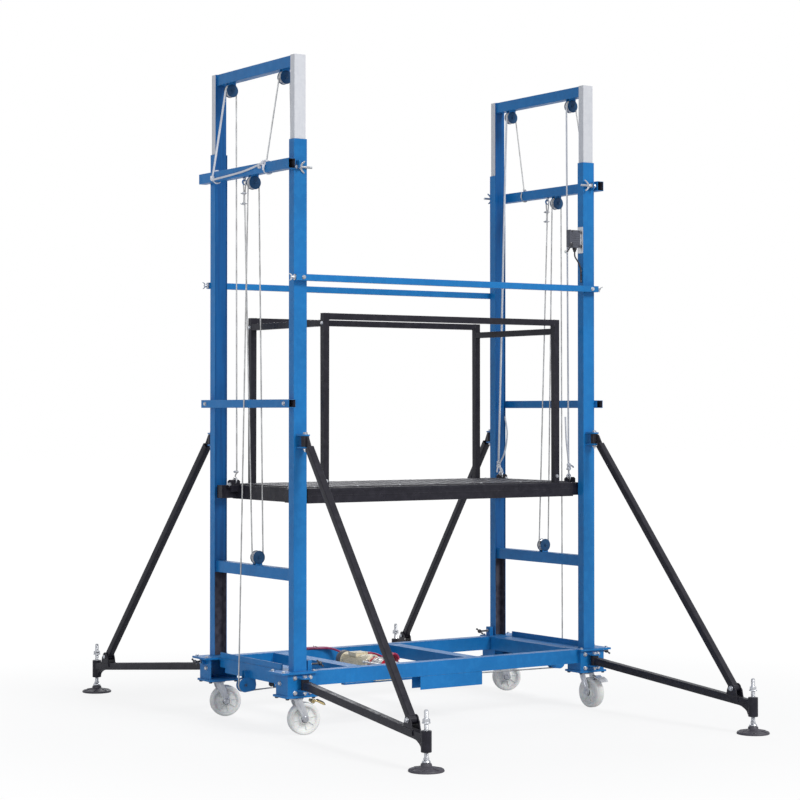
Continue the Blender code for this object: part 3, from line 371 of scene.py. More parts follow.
FINISHES = {
    "blue": blue_enamel("blue_enamel"),
    # posts and masts: painted shade, near-black low in the channels and darker blue on faces inside
    # the channels and towards the other post
    "post": blue_enamel("blue_enamel_post", inside=in_channel, recess=between_flanges),
    "mast": blue_enamel("blue_enamel_and_galvanised", galvanised=on_outer_faces,
                        recess=towards_other_post),
    # crossbars: painted shade, near-black inside the tubes
    "bar_upper": blue_enamel("blue_enamel_crossbar",
                             inside=inside_tube(z_half=0.0182, z_mid=UPPER_Z)),
    "bar_middle": blue_enamel("blue_enamel_crossbar_middle",
                              inside=inside_tube(z_half=0.0142, z_mid=MIDDLE_Z)),
    "black": painted("black_enamel", base=(0.014, 0.013, 0.020), worn=(0.046, 0.043, 0.057),
                     primer=(0.22, 0.21, 0.22), rough=(0.26, 0.42), dust=0.05, wear=0.35),
    "deck": painted("deck_enamel", base=(0.026, 0.024, 0.033), worn=(0.060, 0.057, 0.070),
                    primer=(0.20, 0.20, 0.20), rough=(0.36, 0.52), dust=0.05, wear=0.45,
                    peel=0.6),
    "cream": painted("cream_enamel", base=(0.76, 0.68, 0.50), worn=(0.84, 0.78, 0.64),
                     primer=(0.30, 0.28, 0.25), rough=(0.30, 0.46), dust=0.10, wear=0.6),
    "red": painted("red_enamel", base=(0.50, 0.012, 0.030), worn=(0.66, 0.07, 0.08),
                   primer=(0.30, 0.28, 0.27), rough=(0.28, 0.44), dust=0.08),
    "zinc": zinc_plated("zinc_plate"),
    "yellow_zinc": zinc_plated("yellow_zinc_plate", base=(0.72, 0.58, 0.28),
                               tint=(0.50, 0.40, 0.22), dirt=0.45),
    "dark_steel": zinc_plated("oiled_steel", base=(0.10, 0.10, 0.11), tint=(0.055, 0.054, 0.06),
                              rough=(0.32, 0.5), grime=(0.02, 0.018, 0.016)),
    "rope": strand_steel("wire_rope"),
    "sheath": plastic("rope_sheath", base=(0.74, 0.76, 0.80), dark=(0.62, 0.64, 0.70),
                      rough=(0.30, 0.44), grain=420.0, scuff=(0.42, 0.42, 0.44), scuffed=0.30),
    "nylon": plastic("white_nylon", base=(0.80, 0.80, 0.78), dark=(0.70, 0.70, 0.68),
                     rough=(0.34, 0.50), grain=260.0, subsurface=0.08,
                     scuff=(0.50, 0.48, 0.44), scuffed=0.22),
    "grey": plastic("grey_plastic", base=(0.085, 0.090, 0.115), dark=(0.055, 0.058, 0.075),
                    scuff=(0.24, 0.24, 0.26)),
    "rubber": plastic("black_rubber", base=(0.022, 0.020, 0.024), dark=(0.034, 0.032, 0.038),
                      rough=(0.55, 0.75), grain=520.0, scuff=(0.12, 0.11, 0.11)),
    "pad": plastic("moulded_pad_rubber", base=(0.040, 0.037, 0.048), dark=(0.060, 0.056, 0.070),
                   rough=(0.42, 0.62), grain=360.0, scuff=(0.20, 0.19, 0.20), scuffed=0.3),
    "cable": plastic("red_cable_sheath", base=(0.46, 0.012, 0.065), dark=(0.34, 0.010, 0.055),
                     rough=(0.28, 0.42), grain=300.0, scuff=(0.55, 0.30, 0.34)),
    # painted shade: a darker copy of the blue enamel for the sheave cheek caps and pin nuts
    "shaded_blue": blue_enamel("shaded_blue_enamel", base=(0.014, 0.070, 0.170),
                        worn=(0.040, 0.140, 0.300)),
    "light_zinc": zinc_plated("bright_zinc_plate", base=(0.74, 0.75, 0.77),
                              tint=(0.60, 0.61, 0.64), rough=(0.30, 0.46), dirt=0.18),
    "band": plastic("pink_cable_sheath", base=(0.52, 0.20, 0.36), dark=(0.42, 0.14, 0.28),
                    rough=(0.30, 0.44), grain=300.0, scuff=(0.62, 0.40, 0.52)),
    "magenta": plastic("magenta_cable_sheath", base=(0.26, 0.012, 0.085),
                       dark=(0.18, 0.010, 0.065), rough=(0.28, 0.42), grain=300.0,
                       scuff=(0.40, 0.16, 0.24)),
    "weld": blue_enamel("painted_weld", base=scaled(BLUE, 0.82), peel=1.0),
    "weld_black": painted("painted_weld_black", base=(0.020, 0.018, 0.026),
                          worn=(0.07, 0.066, 0.08), primer=(0.2, 0.2, 0.2), peel=1.0),
}


# ---- mesh tools: a shape is (points, faces) ----------------------------------------------------
def joined(*shapes):
    points, faces = [], []
    for more, more_faces in shapes:
        n = len(points)
        points += [Vector(p) for p in more]
        faces += [tuple(i + n for i in face) for face in more_faces]
    return points, faces


def placed(shape, matrix):
    return [matrix @ Vector(p) for p in shape[0]], shape[1]


def offsets(origin, *steps):
    return [origin + Vector(step) for step in steps]


def lift(z):
    return Vector((0, 0, z))


def axis_frame(axis):
    axis = Vector(axis).normalized()
    across = axis.orthogonal().normalized() if abs(axis.z) < 0.99 else Vector(X)
    return axis, across, axis.cross(across)


def xz_frame(angle):
    """The outward and tangent directions at an angle round the Y axis."""
    return Vector((cos(angle), 0, sin(angle))), Vector((-sin(angle), 0, cos(angle)))


def symmetric(half, middle=()):
    """A lathe profile from its half at negative distances."""
    return half + list(middle) + [(-s, r) for s, r in reversed(half)]


def lathe(profile, centre, axis, sides=48, ring=False):
    """(distance along the axis, radius) pairs turned about the axis."""
    centre = Vector(centre)
    axis, across, other = axis_frame(axis)
    points, rows, faces = [], [], []
    for s, r in profile:
        if r <= 0:
            rows.append([len(points)])
            points.append(centre + axis * s)
            continue
        rows.append(list(range(len(points), len(points) + sides)))
        for i in range(sides):
            a = 2 * pi * i / sides
            points.append(centre + axis * s + (across * cos(a) + other * sin(a)) * r)
    pairs = list(zip(rows, rows[1:])) + ([(rows[-1], rows[0])] if ring else [])
    for a, b in pairs:
        for i in range(sides):
            j = (i + 1) % sides
            face = [a[i % len(a)], a[j % len(a)], b[j % len(b)], b[i % len(b)]]
            short = [v for k, v in enumerate(face) if v != face[k - 1]]
            if len(short) > 2:
                faces.append(tuple(short))
    return points, faces


def rod(start, end, radius, sides=24, chamfer=0.0):
    start, end = Vector(start), Vector(end)
    n = (end - start).length
    c = min(chamfer, n / 3, radius / 2)
    profile = [(0, 0), (0, radius), (n, radius), (n, 0)]
    if c:
        profile = [(0, 0), (0, radius - c), (c, radius), (n - c, radius), (n, radius - c), (n, 0)]
    return lathe(profile, start, end - start, sides)


def rounded(width, height, radius, steps=4):
    """A rectangle's outline with rounded corners, anticlockwise."""
    points = []
    right, top = width / 2 - radius, height / 2 - radius
    corners = ((right, top), (-right, top), (-right, -top), (right, -top))
    for quarter, (x, y) in enumerate(corners):
        for i in range(steps + 1):
            a = quarter * pi / 2 + pi / 2 * i / steps
            points.append((x + radius * cos(a), y + radius * sin(a)))
    return points


def beam(start, end, width, height, side, radius, steps=2, wall=None):
    """A rounded rectangular bar, or an open-ended tube if it has a wall. Width lies along side."""
    start, end = Vector(start), Vector(end)
    along = (end - start).normalized()
    across = Vector(side)
    across = (across - along * across.dot(along)).normalized()
    up = along.cross(across)
    points, faces = [], []

    def ring(at, outline):
        first = len(points)
        points.extend(at + across * u + up * v for u, v in outline)
        return list(range(first, first + len(outline)))

    outer = rounded(width, height, radius, steps)
    a, b = ring(start, outer), ring(end, outer)
    turns = [(i, (i + 1) % len(outer)) for i in range(len(outer))]
    faces += [(a[i], a[j], b[j], b[i]) for i, j in turns]
    if wall:
        inner = rounded(width - 2 * wall, height - 2 * wall, max(radius - wall, 0.0006), steps)
        c, d = ring(start, inner), ring(end, inner)
        faces += [(c[j], c[i], d[i], d[j]) for i, j in turns]
        faces += [(a[j], a[i], c[i], c[j]) for i, j in turns]
        faces += [(b[i], b[j], d[j], d[i]) for i, j in turns]
    else:
        faces += [tuple(reversed(a)), tuple(b)]
    return points, faces


def plate(outline, along, low, high):
    """A flat outline drawn out along x, y or z."""
    at = "xyz".index(along)
    points = [Vector((*p[:at], h, *p[at:])) for h in (low, high) for p in outline]
    n = len(outline)
    faces = [tuple(range(n)), tuple(reversed(range(n, 2 * n)))]
    faces += [(i, n + i, n + (i + 1) % n, (i + 1) % n) for i in range(n)]
    return points, faces


def block(x0, x1, y0, y1, z0, z1, radius):
    """A box with its four upright edges rounded."""
    corners = rounded(abs(x1 - x0), abs(y1 - y0), radius, 3)
    return plate([(x + (x0 + x1) / 2, y + (y0 + y1) / 2) for x, y in corners], "z", z0, z1)


STRANDS, LAY, LOBE = 6, 0.034, 0.16  # strands, length of one turn, depth of the outline's lobes


def sweep(path, radius, sides=10, laid=False, close=False):
    """A round section drawn along a path. Laid, it is a rope of twisted strands."""
    path = [Vector(p) for p in path]
    n = len(path)
    points, faces = [], []
    tangent = (path[1] - path[0]).normalized()
    across = axis_frame(tangent)[1]
    length = 0.0
    for i, p in enumerate(path):
        if close:
            ahead = (path[(i + 1) % n] - path[i - 1]).normalized()
        else:
            ahead = (path[min(i + 1, n - 1)] - path[max(i - 1, 0)]).normalized()
        across = (tangent.rotation_difference(ahead) @ across).normalized()
        tangent = ahead
        other = tangent.cross(across)
        if i:
            length += (p - path[i - 1]).length
        twist = 2 * pi * length / LAY
        for k in range(sides):
            a = 2 * pi * k / sides
            r = radius
            if laid:
                r *= 1 - LOBE / 2 + LOBE / 2 * cos(STRANDS * (a - twist))
            points.append(p + across * (cos(a) * r) + other * (sin(a) * r))
    for i in range(n if close else n - 1):
        j = (i + 1) % n
        for k in range(sides):
            m = (k + 1) % sides
            faces.append((i * sides + k, i * sides + m, j * sides + m, j * sides + k))
    if not close:
        faces.append(tuple(reversed(range(sides))))
        faces.append(tuple(range((n - 1) * sides, n * sides)))
    return points, faces


def even(points, step=0.006):
    """Points along a broken line at an even step, both ends kept."""
    points = [Vector(p) for p in points]
    out = [points[0]]
    for a, b in zip(points, points[1:]):
        n = max(1, math.ceil((b - a).length / step))
        out += [a.lerp(b, i / n) for i in range(1, n + 1)]
    return out


def curved(points, step=0.004):
    """A smooth Catmull-Rom line through points."""
    p = [Vector(q) for q in points]
    p = [p[0] * 2 - p[1]] + p + [p[-1] * 2 - p[-2]]
    out = []
    for a, b, c, d in zip(p, p[1:], p[2:], p[3:]):
        n = max(2, math.ceil((c - b).length / step))
        for k in range(n):
            t = k / n
            out.append(0.5 * ((2 * b) + (c - a) * t + (2 * a - 5 * b + 4 * c - d) * t * t
                              + (3 * b - a - 3 * c + d) * t ** 3))
    return out + [p[-2]]


def arc(centre, radius, first, last, steps):
    """Points round a Y axis: angle 0 along +X, 90 along +Z, degrees."""
    angles = [radians(first + (last - first) * i / steps) for i in range(steps + 1)]
    x, y, z = centre
    return [Vector((x + radius * cos(a), y, z + radius * sin(a))) for a in angles]


def ellipse(centre, across, up, step=10):
    """Points round a centre from its two half axes, a step in degrees apart."""
    centre, across, up = Vector(centre), Vector(across), Vector(up)
    return [centre + across * cos(radians(a)) + up * sin(radians(a)) for a in range(0, 360, step)]


def hexagon(centre, axis, across_flats, low, high, turn=0.0):
    """A hexagon head or nut with chamfered corners."""
    centre = Vector(centre)
    axis, across, other = axis_frame(axis)
    r = across_flats / 2 / cos(pi / 6)
    c = across_flats * 0.055
    points, faces = [], []
    for s, scale in ((low, 0.93), (low + c, 1.0), (high - c, 1.0), (high, 0.90)):
        for k in range(6):
            a = turn + k * pi / 3
            points.append(centre + axis * s + (across * cos(a) + other * sin(a)) * r * scale)
    for row in range(0, 18, 6):
        for k in range(6):
            m = (k + 1) % 6
            faces.append((row + k, row + m, row + 6 + m, row + 6 + k))
    faces += [tuple(reversed(range(6))), tuple(range(18, 24))]
    return points, faces


def bolt(base, axis, size, head, washer=True, turn=0.3, shank=0.0):
    """A hexagon head of a given height, with a washer, on a face; a shank stands out of it."""
    base = Vector(base)
    shapes = []
    low = 0.0
    if washer:
        low = size * 0.16
        shapes.append(lathe([(-0.0004, size * 0.2), (-0.0004, size * 1.02),
                             (low * 0.7, size * 1.04), (low, size * 0.98), (low, size * 0.2)],
                            base, axis, 28, ring=True))
    top = low + head
    shapes.append(hexagon(base, axis, size * 1.55, low - 0.0001, top, turn))
    if shank:
        out = Vector(axis).normalized()
        shapes.append(rod(base + out * (low + head * 0.4), base + out * (top + shank),
                          size * 0.47, 16, 0.0006))
    else:  # the shallow disc on the head
        shapes.append(lathe([(top - 0.0001, 0), (top - 0.0001, size * 0.62),
                             (top + size * 0.05, size * 0.54), (top + size * 0.05, 0)],
                            base, axis, 20))
    return joined(*shapes)


def washer(centre, axis, hole, radius):
    thick = 0.0016
    return lathe([(0, hole), (0, radius - 0.0003), (thick, radius), (thick, hole)],
                 centre, axis, 28, ring=True)


def thread(base, axis, radius, length, pitch, sides, depth=0.12):
    """A screw with a real helical thread."""
    base = Vector(base)
    axis, across, other = axis_frame(axis)
    rows = max(8, int(length / pitch * 5))
    points, faces = [], []
    for i in range(rows + 1):
        s = length * i / rows
        for k in range(sides):
            a = 2 * pi * k / sides
            phase = (s / pitch - k / sides) % 1.0
            r = radius * (1 - depth * abs(2 * phase - 1) * (1 if 0 < i < rows else 1.5))
            points.append(base + axis * s + (across * cos(a) + other * sin(a)) * r)
    for i in range(rows):
        for k in range(sides):
            m = (k + 1) % sides
            faces.append((i * sides + k, i * sides + m, (i + 1) * sides + m, (i + 1) * sides + k))
    faces += [tuple(reversed(range(sides))), tuple(range(rows * sides, (rows + 1) * sides))]
    return points, faces


RIPPLE = 0.0045  # length of one weld ripple, drawn in three steps


def weld_bead(start, end, size=0.0032):
    """A row of overlapping ripples laid along a joint, half of it proud."""
    path = even([start, end], RIPPLE / 3)
    n = len(path)
    points, faces = sweep(path, size / 2, 8)
    for i in range(n):
        scale = 0.82 + 0.22 * abs(sin(pi * i / 3)) * (0.9 + 0.2 * sin(i * 1.7))
        if i in (0, n - 1):
            scale *= 0.35
        for k in range(8):
            points[i * 8 + k] = path[i] + (points[i * 8 + k] - path[i]) * scale
    return points, faces


def piece(name, shape, finish, body, bevel=0.0, smooth=38.0, replaces=None):
    """A finished piece on its body."""
    mesh = bpy.data.meshes.new(name)
    mesh.from_pydata([tuple(p) for p in shape[0]], [], shape[1])
    mesh.validate()
    bm = bmesh.new()
    bm.from_mesh(mesh)
    bmesh.ops.recalc_face_normals(bm, faces=bm.faces)
    bm.to_mesh(mesh)
    bm.free()
    made = bpy.data.objects.new(name, mesh)
    bpy.context.scene.collection.objects.link(made)
    mesh.materials.append(FINISHES[finish])
    mesh.shade_smooth()
    mesh.set_sharp_from_angle(angle=radians(smooth))
    if bevel:
        edge = made.modifiers.new("edge", "BEVEL")
        edge.width = bevel
        edge.segments = 2
        edge.limit_method = "ANGLE"
        edge.angle_limit = radians(50)
        edge.use_clamp_overlap = False
        edge.harden_normals = False
    if body:
        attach(made, body)
    if replaces:
        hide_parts(replaces)
    return made


def cord(name, shape, finish, body, **values):
    """A piece with only its sharpest edges left sharp."""
    return piece(name, shape, finish, body, smooth=70.0, **values)


# ---- the CAD nodes that stay: eased edges and finishes -----------------------------------------
def dress(node, finish, width):
    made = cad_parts[node]
    weld = made.modifiers.new("weld", "WELD")
    weld.merge_threshold = 0.00001
    ease = made.modifiers.new("ease", "BEVEL")
    ease.width = width
    ease.segments = 2
    ease.limit_method = "ANGLE"
    ease.angle_limit = radians(38)
    ease.use_clamp_overlap = False
    made.data.materials.clear()
    made.data.materials.append(FINISHES[finish])
    made.data.shade_smooth()
    smooth = made.modifiers.new("smooth", "EDGE_SPLIT")
    smooth.split_angle = radians(42)
    smooth.use_edge_sharp = False
    shade = made.modifiers.new("shade", "WEIGHTED_NORMAL")
    shade.mode = "FACE_AREA"
    shade.weight = 50
    shade.keep_sharp = False


dress("base_frame", "blue", width=0.0006)
dress("control_sleeve", "blue", width=0.0011)
for corner in CORNERS:
    dress(f"outer_post_{corner}", "post", width=0.0010)
for side in SIDES:
    dress(f"crossbar_upper_{side}", "bar_upper", width=0.0007)
    dress(f"crossbar_middle_{side}", "bar_middle", width=0.0009)
    dress(f"inner_mast_{side}", "mast", width=0.0008)
for end in ("front", "rear"):
    dress(f"tie_rail_{end}", "blue", width=0.0009)
    dress(f"guard_rail_{end}", "black", width=0.0009)
dress("platform_frame", "black", width=0.0008)
dress("deck_plate", "deck", width=0.0009)
dress("brake_pedal_fl", "yellow_zinc", width=0.0006)
dress("brake_pedal_fr", "zinc", width=0.0006)

# ---- sheaves: profiles are (distance along the axle, radius) -----------------------------------
SHEAVE_HALF = [
    (-0.0080, 0.0044), (-0.0080, 0.0085), (-0.0068, 0.0092), (-0.0055, 0.0105),
    (-0.0055, 0.0170), (-0.0068, 0.0186), (-0.0079, 0.0194), (-0.0079, 0.0244),
    (-0.0070, 0.0250), (-0.0056, 0.0250)]
CHEEK_CAP = [
    (0.0109, 0.0050), (0.0109, 0.0258), (0.0116, 0.0266), (0.01195, 0.0260),
    (0.0125, 0.0190), (0.0130, 0.0140), (0.0131, 0.0100), (0.0131, 0.0050)]
CHEEK_NOSE = [  # x, z from the sheave's height: the base cheek's end towards the frame's middle
    (0.7150, 0.0262), (0.7060, 0.0200), (0.7030, 0.0), (0.7060, -0.0180), (0.7150, -0.0240)]


def sheave(name, x, y, z, bracket_body):
    """A turned rope pulley with a round groove and a lightened web, and its bracket's caps."""
    groove = [(0.0038 * sin(radians(a)), GROOVE + 0.0034 - 0.0034 * cos(radians(a)))
              for a in range(-75, 76, 15)]
    piece(f"{name}_wheel", lathe(symmetric(SHEAVE_HALF, groove), (x, y, z), Y, 56, ring=True),
          "zinc", name, replaces=name)
    # the caps and pin nuts take the darker blue copy, a painted shade
    caps = [lathe(CHEEK_CAP, (x, y, z), (0, e, 0), 48, ring=True) for e in BOTH]
    piece(f"{name}_cheek_caps", joined(*caps), "shaded_blue", bracket_body)
    pins = []
    for e in BOTH:
        pins.append(hexagon((x, y + e * 0.0131, z), (0, e, 0), 0.0105, -0.0002, 0.0048, 0.2 * e))
        pins.append(rod((x, y + e * 0.0150, z), (x, y + e * 0.0205, z), 0.0034, 16, 0.0006))
    piece(f"{name}_pin_nuts", joined(*pins), "shaded_blue", bracket_body)


def base_cheeks(side, sx):
    shapes = []
    y = BASE_Y[side]
    for e in BOTH:
        outline = [(sx * (BAR_X + 0.0285 * cos(radians(a))), BASE_Z + 0.0285 * sin(radians(a)))
                   for a in range(-84, 85, 12)]
        outline += [(sx * nose_x, BASE_Z + rise) for nose_x, rise in CHEEK_NOSE]
        shapes.append(plate(outline, "y", y + e * 0.0119, y + e * 0.0134))
    shapes.append(rod((sx * 0.7120, y - 0.0128, BASE_Z), (sx * 0.7120, y + 0.0128, BASE_Z), 0.0080))
    piece(f"base_sheave_cheeks_{side}", joined(*shapes), "blue", "chassis", 0.0005)


for side, sx in SIDES.items():
    for end, sy in (("front", -1), ("rear", 1)):
        sheave(f"sheave_top_{end}_{side}", sx * POST_X, sy * TOP_Y, TOP_Z, f"mast_{side}")
    sheave(f"sheave_crossbar_{side}", sx * BAR_X, BAR_Y[side], BAR_SHEAVE_Z, "chassis")
    sheave(f"sheave_mast_foot_{side}", sx * POST_X, FOOT_Y[side], FOOT_Z, f"mast_{side}")
    sheave(f"sheave_base_{side}", sx * BAR_X, BASE_Y[side], BASE_Z, "chassis")
    base_cheeks(side, sx)

# ---- ropes -------------------------------------------------------------------------------------
WIRE, SHEATHED = ("rope", ROPE_R), ("sheath", SHEATH_R)  # finish, radius
BAR_TIE = {  # where a rope is tied to the upper crossbar
    "rl": (-0.7712, 0.2430, 2.1760), "fl": (-0.7620, -0.1710, 2.2050),
    "rr": (0.7480, 0.1720, 2.2000), "fr": (0.7490, -0.2620, 2.2000)}
PLATFORM_TIE = {  # where a rope comes down to the platform
    "rl": (-0.6640, 0.2330, 0.9820), "fl": (-0.6680, -0.2390, 0.9820),
    "rr": (0.6640, 0.2500, 0.9960), "fr": (0.6640, -0.2440, 0.9960)}


def fall(name, begin, end, kind=WIRE):
    """A rope between two bodies, swept in eight lengths, each baked in place and on no body."""
    finish, radius = kind
    path = even([begin, end])
    begin, end, last = Vector(begin), Vector(end), len(path) - 1
    cuts = [round(last * k / 8) for k in range(9)]
    for k, (low, high) in enumerate(zip(cuts, cuts[1:])):
        shape = sweep(path[low:high + 1], radius, 12, laid=finish == "rope")
        made = cord(f"{name}_{k + 1}", shape, finish, None)
        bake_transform(made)


def wire(name, path, body, **values):
    cord(name, sweep(path, ROPE_R, 12, laid=True), "rope", body, **values)


def wrap(name, x, y, z, first, last, body):
    wire(name, arc((x, y, z), RUN, first, last, 22), body)


def clip(at, side, rope):
    """A wire rope grip: forged saddle, U-bolt and two nuts, on two upright ropes side by side."""
    side = Vector(side)
    matrix = Matrix((side, Z, Vector(Z).cross(side))).transposed().to_4x4()
    matrix.translation = at
    w = rope + 0.0024
    u = [(-w, 0, 0.0125), (-w, 0, 0.0030)]
    u += [(-w * cos(radians(a)), 0, -w * 0.95 * sin(radians(a)) - 0.0010)
          for a in range(0, 181, 20)]
    u += [(w, 0, 0.0030), (w, 0, 0.0125)]
    saddle = [(-0.0088, 0.0022), (-0.0088, 0.0055), (-0.0040, 0.0062), (0.0040, 0.0062),
              (0.0088, 0.0055), (0.0088, 0.0022), (0.0040, 0.0022), (0.0026, 0.0036),
              (-0.0026, 0.0036), (-0.0040, 0.0022)]
    nuts = [hexagon((e * w, 0, 0.0062), Z, 0.0060, -0.0004, 0.0030, 0.4) for e in BOTH]
    shapes = [sweep(curved(u, 0.0015), 0.0017), plate(saddle, "y", -0.0048, 0.0048), *nuts]
    return placed(joined(*shapes), matrix)


def loop(top, drop, half, across, radius=ROPE_R, laid=True):
    """A rope eye hanging from top: a tear-drop in the plane of across and Z."""
    across = Vector(across)
    points = [top + lift(-drop) + across * 0.0030]
    points += [top + across * (half * sin(radians(a))) + lift(half * (cos(radians(a)) - 1))
               for a in (110, 70, 35, 0, -35, -70, -110)]
    points += [top + lift(-drop) - across * 0.0030]
    return sweep(curved(points, 0.0030), radius, laid=laid)


def knot(at, size, radius, axis):
    """An overhand knot drawn tight."""
    at = Vector(at)
    axis, across, other = axis_frame(axis)
    path = []
    for i in range(72):
        t = 2 * pi * i / 72
        x = sin(t) + 2 * sin(2 * t)
        y = cos(t) - 2 * cos(2 * t)
        z = -sin(3 * t)
        path.append(at + (across * x * 0.30 + other * y * 0.30 + axis * z * 0.55) * size)
    return sweep(path, radius, close=True)


def tail(points, radius, laid=False):
    return sweep(curved(points), radius, laid=laid)


def mast_ropes(corner, end_kind=WIRE, lift_kind=WIRE):
    """From the crossbar up over the mast's top sheave and down to the platform."""
    sx, sy = CORNERS[corner]
    side = "left" if sx < 0 else "right"
    name = f"rope_{side}_{'front' if sy < 0 else 'rear'}"
    mast, y = f"mast_{side}", sy * TOP_Y
    fall(f"{name}_end", BAR_TIE[corner], (sx * (POST_X + RUN), y, TOP_Z),
         end_kind)
    wrap(f"{name}_over", sx * POST_X, y, TOP_Z, 180, 0, mast)
    fall(f"{name}_lift", (sx * (POST_X - RUN), y, TOP_Z), PLATFORM_TIE[corner],
         lift_kind)


def crossbar_hoop(x, y, half_x, half_z, radius):
    """A turn of rope round the upper crossbar."""
    path = ellipse((x, y, UPPER_Z), (half_x, 0, 0), (0, 0, half_z))
    return sweep(path, radius, close=True)


rope_x = -(BAR_X + BAR_FACE + SHEATH_R + 0.0002)  # along the left crossbar's outer face
mast_ropes("rl", end_kind=SHEATHED)
along_bar = curved([
    BAR_TIE["rl"], (rope_x - 0.002, 0.2470, 2.1640), (rope_x, 0.2300, 2.1660),
    (rope_x, 0.1200, 2.1700), (rope_x, 0.0, 2.1760), (rope_x, -0.0900, 2.1860),
    (rope_x, -0.1500, 2.1960), (rope_x + 0.004, -0.1690, 2.2040)], 0.008)
cord("rope_left_along_crossbar", sweep(along_bar, SHEATH_R, 12), "sheath", "chassis")
mast_ropes("fl")
swaying_turn = [(-BAR_X + 0.0205 * cos(radians(a)), -0.1640 + 0.004 * sin(radians(2 * a)),
                 UPPER_Z + 0.0245 * sin(radians(a))) for a in range(0, 360, 10)]
cord("knot_left_crossbar", joined(
    knot((rope_x + 0.001, -0.1560, 2.1960), 0.0085, 0.0040, (0, 1, 0.3)),
    knot((rope_x + 0.003, -0.1280, 2.1860), 0.0080, 0.0040, (0, 1, -0.2)),
    tail([(rope_x, -0.150, 2.196), (rope_x - 0.004, -0.164, 2.184),
          (rope_x - 0.005, -0.168, 2.166)], 0.0035),
    sweep(swaying_turn, 0.0034, close=True)), "sheath", "chassis")
cord("knot_left_rear_hook", joined(
    knot((-0.7720, 0.2440, 2.1720), 0.0080, 0.0040, (0.3, 1, 0)),
    crossbar_hoop(-BAR_X, 0.2440, 0.0208, 0.0248, 0.0036)), "sheath", "chassis")
mast_ropes("rr", lift_kind=SHEATHED)
mast_ropes("fr", lift_kind=("sheath", 0.0036))

DRUM_RUN = 0.0335  # radius at which the side ropes meet the drum
ROLLER = (0.080, -0.1180, 0.1650)  # deflection roller


def hoist_ropes(side, sx):
    """From an eye on the crossbar, under the mast's foot, over the crossbar, down to the base."""
    mast = f"mast_{side}"
    eye = Vector((sx * (BAR_X - 0.008), EYE_Y[side], UPPER_Z - 0.0385))
    foot_y, bar_y, base_y = FOOT_Y[side], BAR_Y[side], BASE_Y[side]
    dead_x, run_x = sx * (POST_X + RUN), sx * (POST_X - RUN)
    if side == "right":
        dead_x, run_x = run_x, dead_x
    bar_out, bar_in = sx * (BAR_X + RUN), sx * (BAR_X - RUN)
    fall(f"rope_{side}_dead_end", tuple(eye + lift(-0.0500)), (dead_x, foot_y, FOOT_Z))
    fall(f"rope_{side}_middle", (bar_in, bar_y, BAR_SHEAVE_Z), (run_x, foot_y, FOOT_Z))
    wrap(f"rope_{side}_under_foot", sx * POST_X, foot_y, FOOT_Z, 0, -180, mast)
    wrap(f"rope_{side}_over_crossbar", sx * BAR_X, bar_y, BAR_SHEAVE_Z, 0, 180, "chassis")
    wire(f"rope_{side}_hoist", even([(bar_out, base_y, BASE_Z), (bar_out, bar_y, BAR_SHEAVE_Z)]),
         "chassis", replaces=f"hoist_rope_{side}")
    first, last = (180, 270) if side == "left" else (0, -90)
    wrap(f"rope_{side}_under_base", sx * BAR_X, base_y, BASE_Z, first, last, "chassis")
    ends = offsets(eye, (0, 0.0030, -0.0500), (0, 0.0050, -0.0720), (0.001, 0.0060, -0.0900))
    cord(f"rope_{side}_eye", joined(loop(eye + lift(0.0060), 0.0560, 0.0095, Y),
                                    tail(ends, ROPE_R, laid=True)), "rope", "chassis")
    piece(f"rope_{side}_clips", joined(
        clip(eye + lift(-0.0440), Y, 0.0062),
        clip(eye + Vector((0, 0.0020, -0.0850)), Y, 0.0066)), "zinc", "chassis", 0.0003)
    # the eye and its bolt through the crossbar
    piece(f"eye_bolt_{side}", joined(
        sweep(ellipse(eye, (0, 0.0105, 0), (0, 0, 0.0105), 15), 0.0026, close=True),
        rod(eye + lift(0.0100), eye + lift(0.0190), 0.0046, 20),
        hexagon(eye + lift(0.0185), (0, 0, -1), 0.0130, 0.0, 0.0060, 0.1)),
        "zinc", "chassis", 0.0003)
    bottom = (sx * BAR_X, base_y, BASE_Z - RUN)
    if side == "left":
        path = even([bottom, (-0.215, -0.1290, HOIST_Z - DRUM_RUN)])
    else:  # under the roller, then over the drum
        under = arc(ROLLER, 0.0130, -82, -108, 6)
        path = even([bottom, under[0]]) + under[1:]
        path += even([under[-1], (-0.1940, -0.1220, HOIST_Z + DRUM_RUN * 0.945)])[1:]
        path += [(HOIST_X + DRUM_RUN * sin(radians(a)), -0.1220,
                  HOIST_Z + DRUM_RUN * cos(radians(a))) for a in (12, 0, -14, -30, -50)]
    wire(f"rope_{side}_to_drum", path, "chassis")


for side, sx in SIDES.items():
    hoist_ropes(side, sx)


def roller(half, at, sides):
    return lathe(symmetric(half), at, Y, sides, ring=True)


def deflection_roller():
    x, _, z = ROLLER
    half = [(-0.020, 0.0042), (-0.020, 0.0120), (-0.017, 0.0126), (-0.014, 0.0100)]
    piece("deflection_roller", roller(half, ROLLER, 36), "nylon", "chassis")
    collar = [(0, 0), (0, 0.0066), (0.0015, 0.0070), (0.0015, 0)]
    piece("deflection_roller_pin", joined(
        rod((x, -0.1670, z), (x, -0.0210, z), 0.0040, 20, 0.0006),
        *[lathe(collar, (x, y, z), Y, 24) for y in (-0.1400, -0.0975)]), "zinc", "chassis")


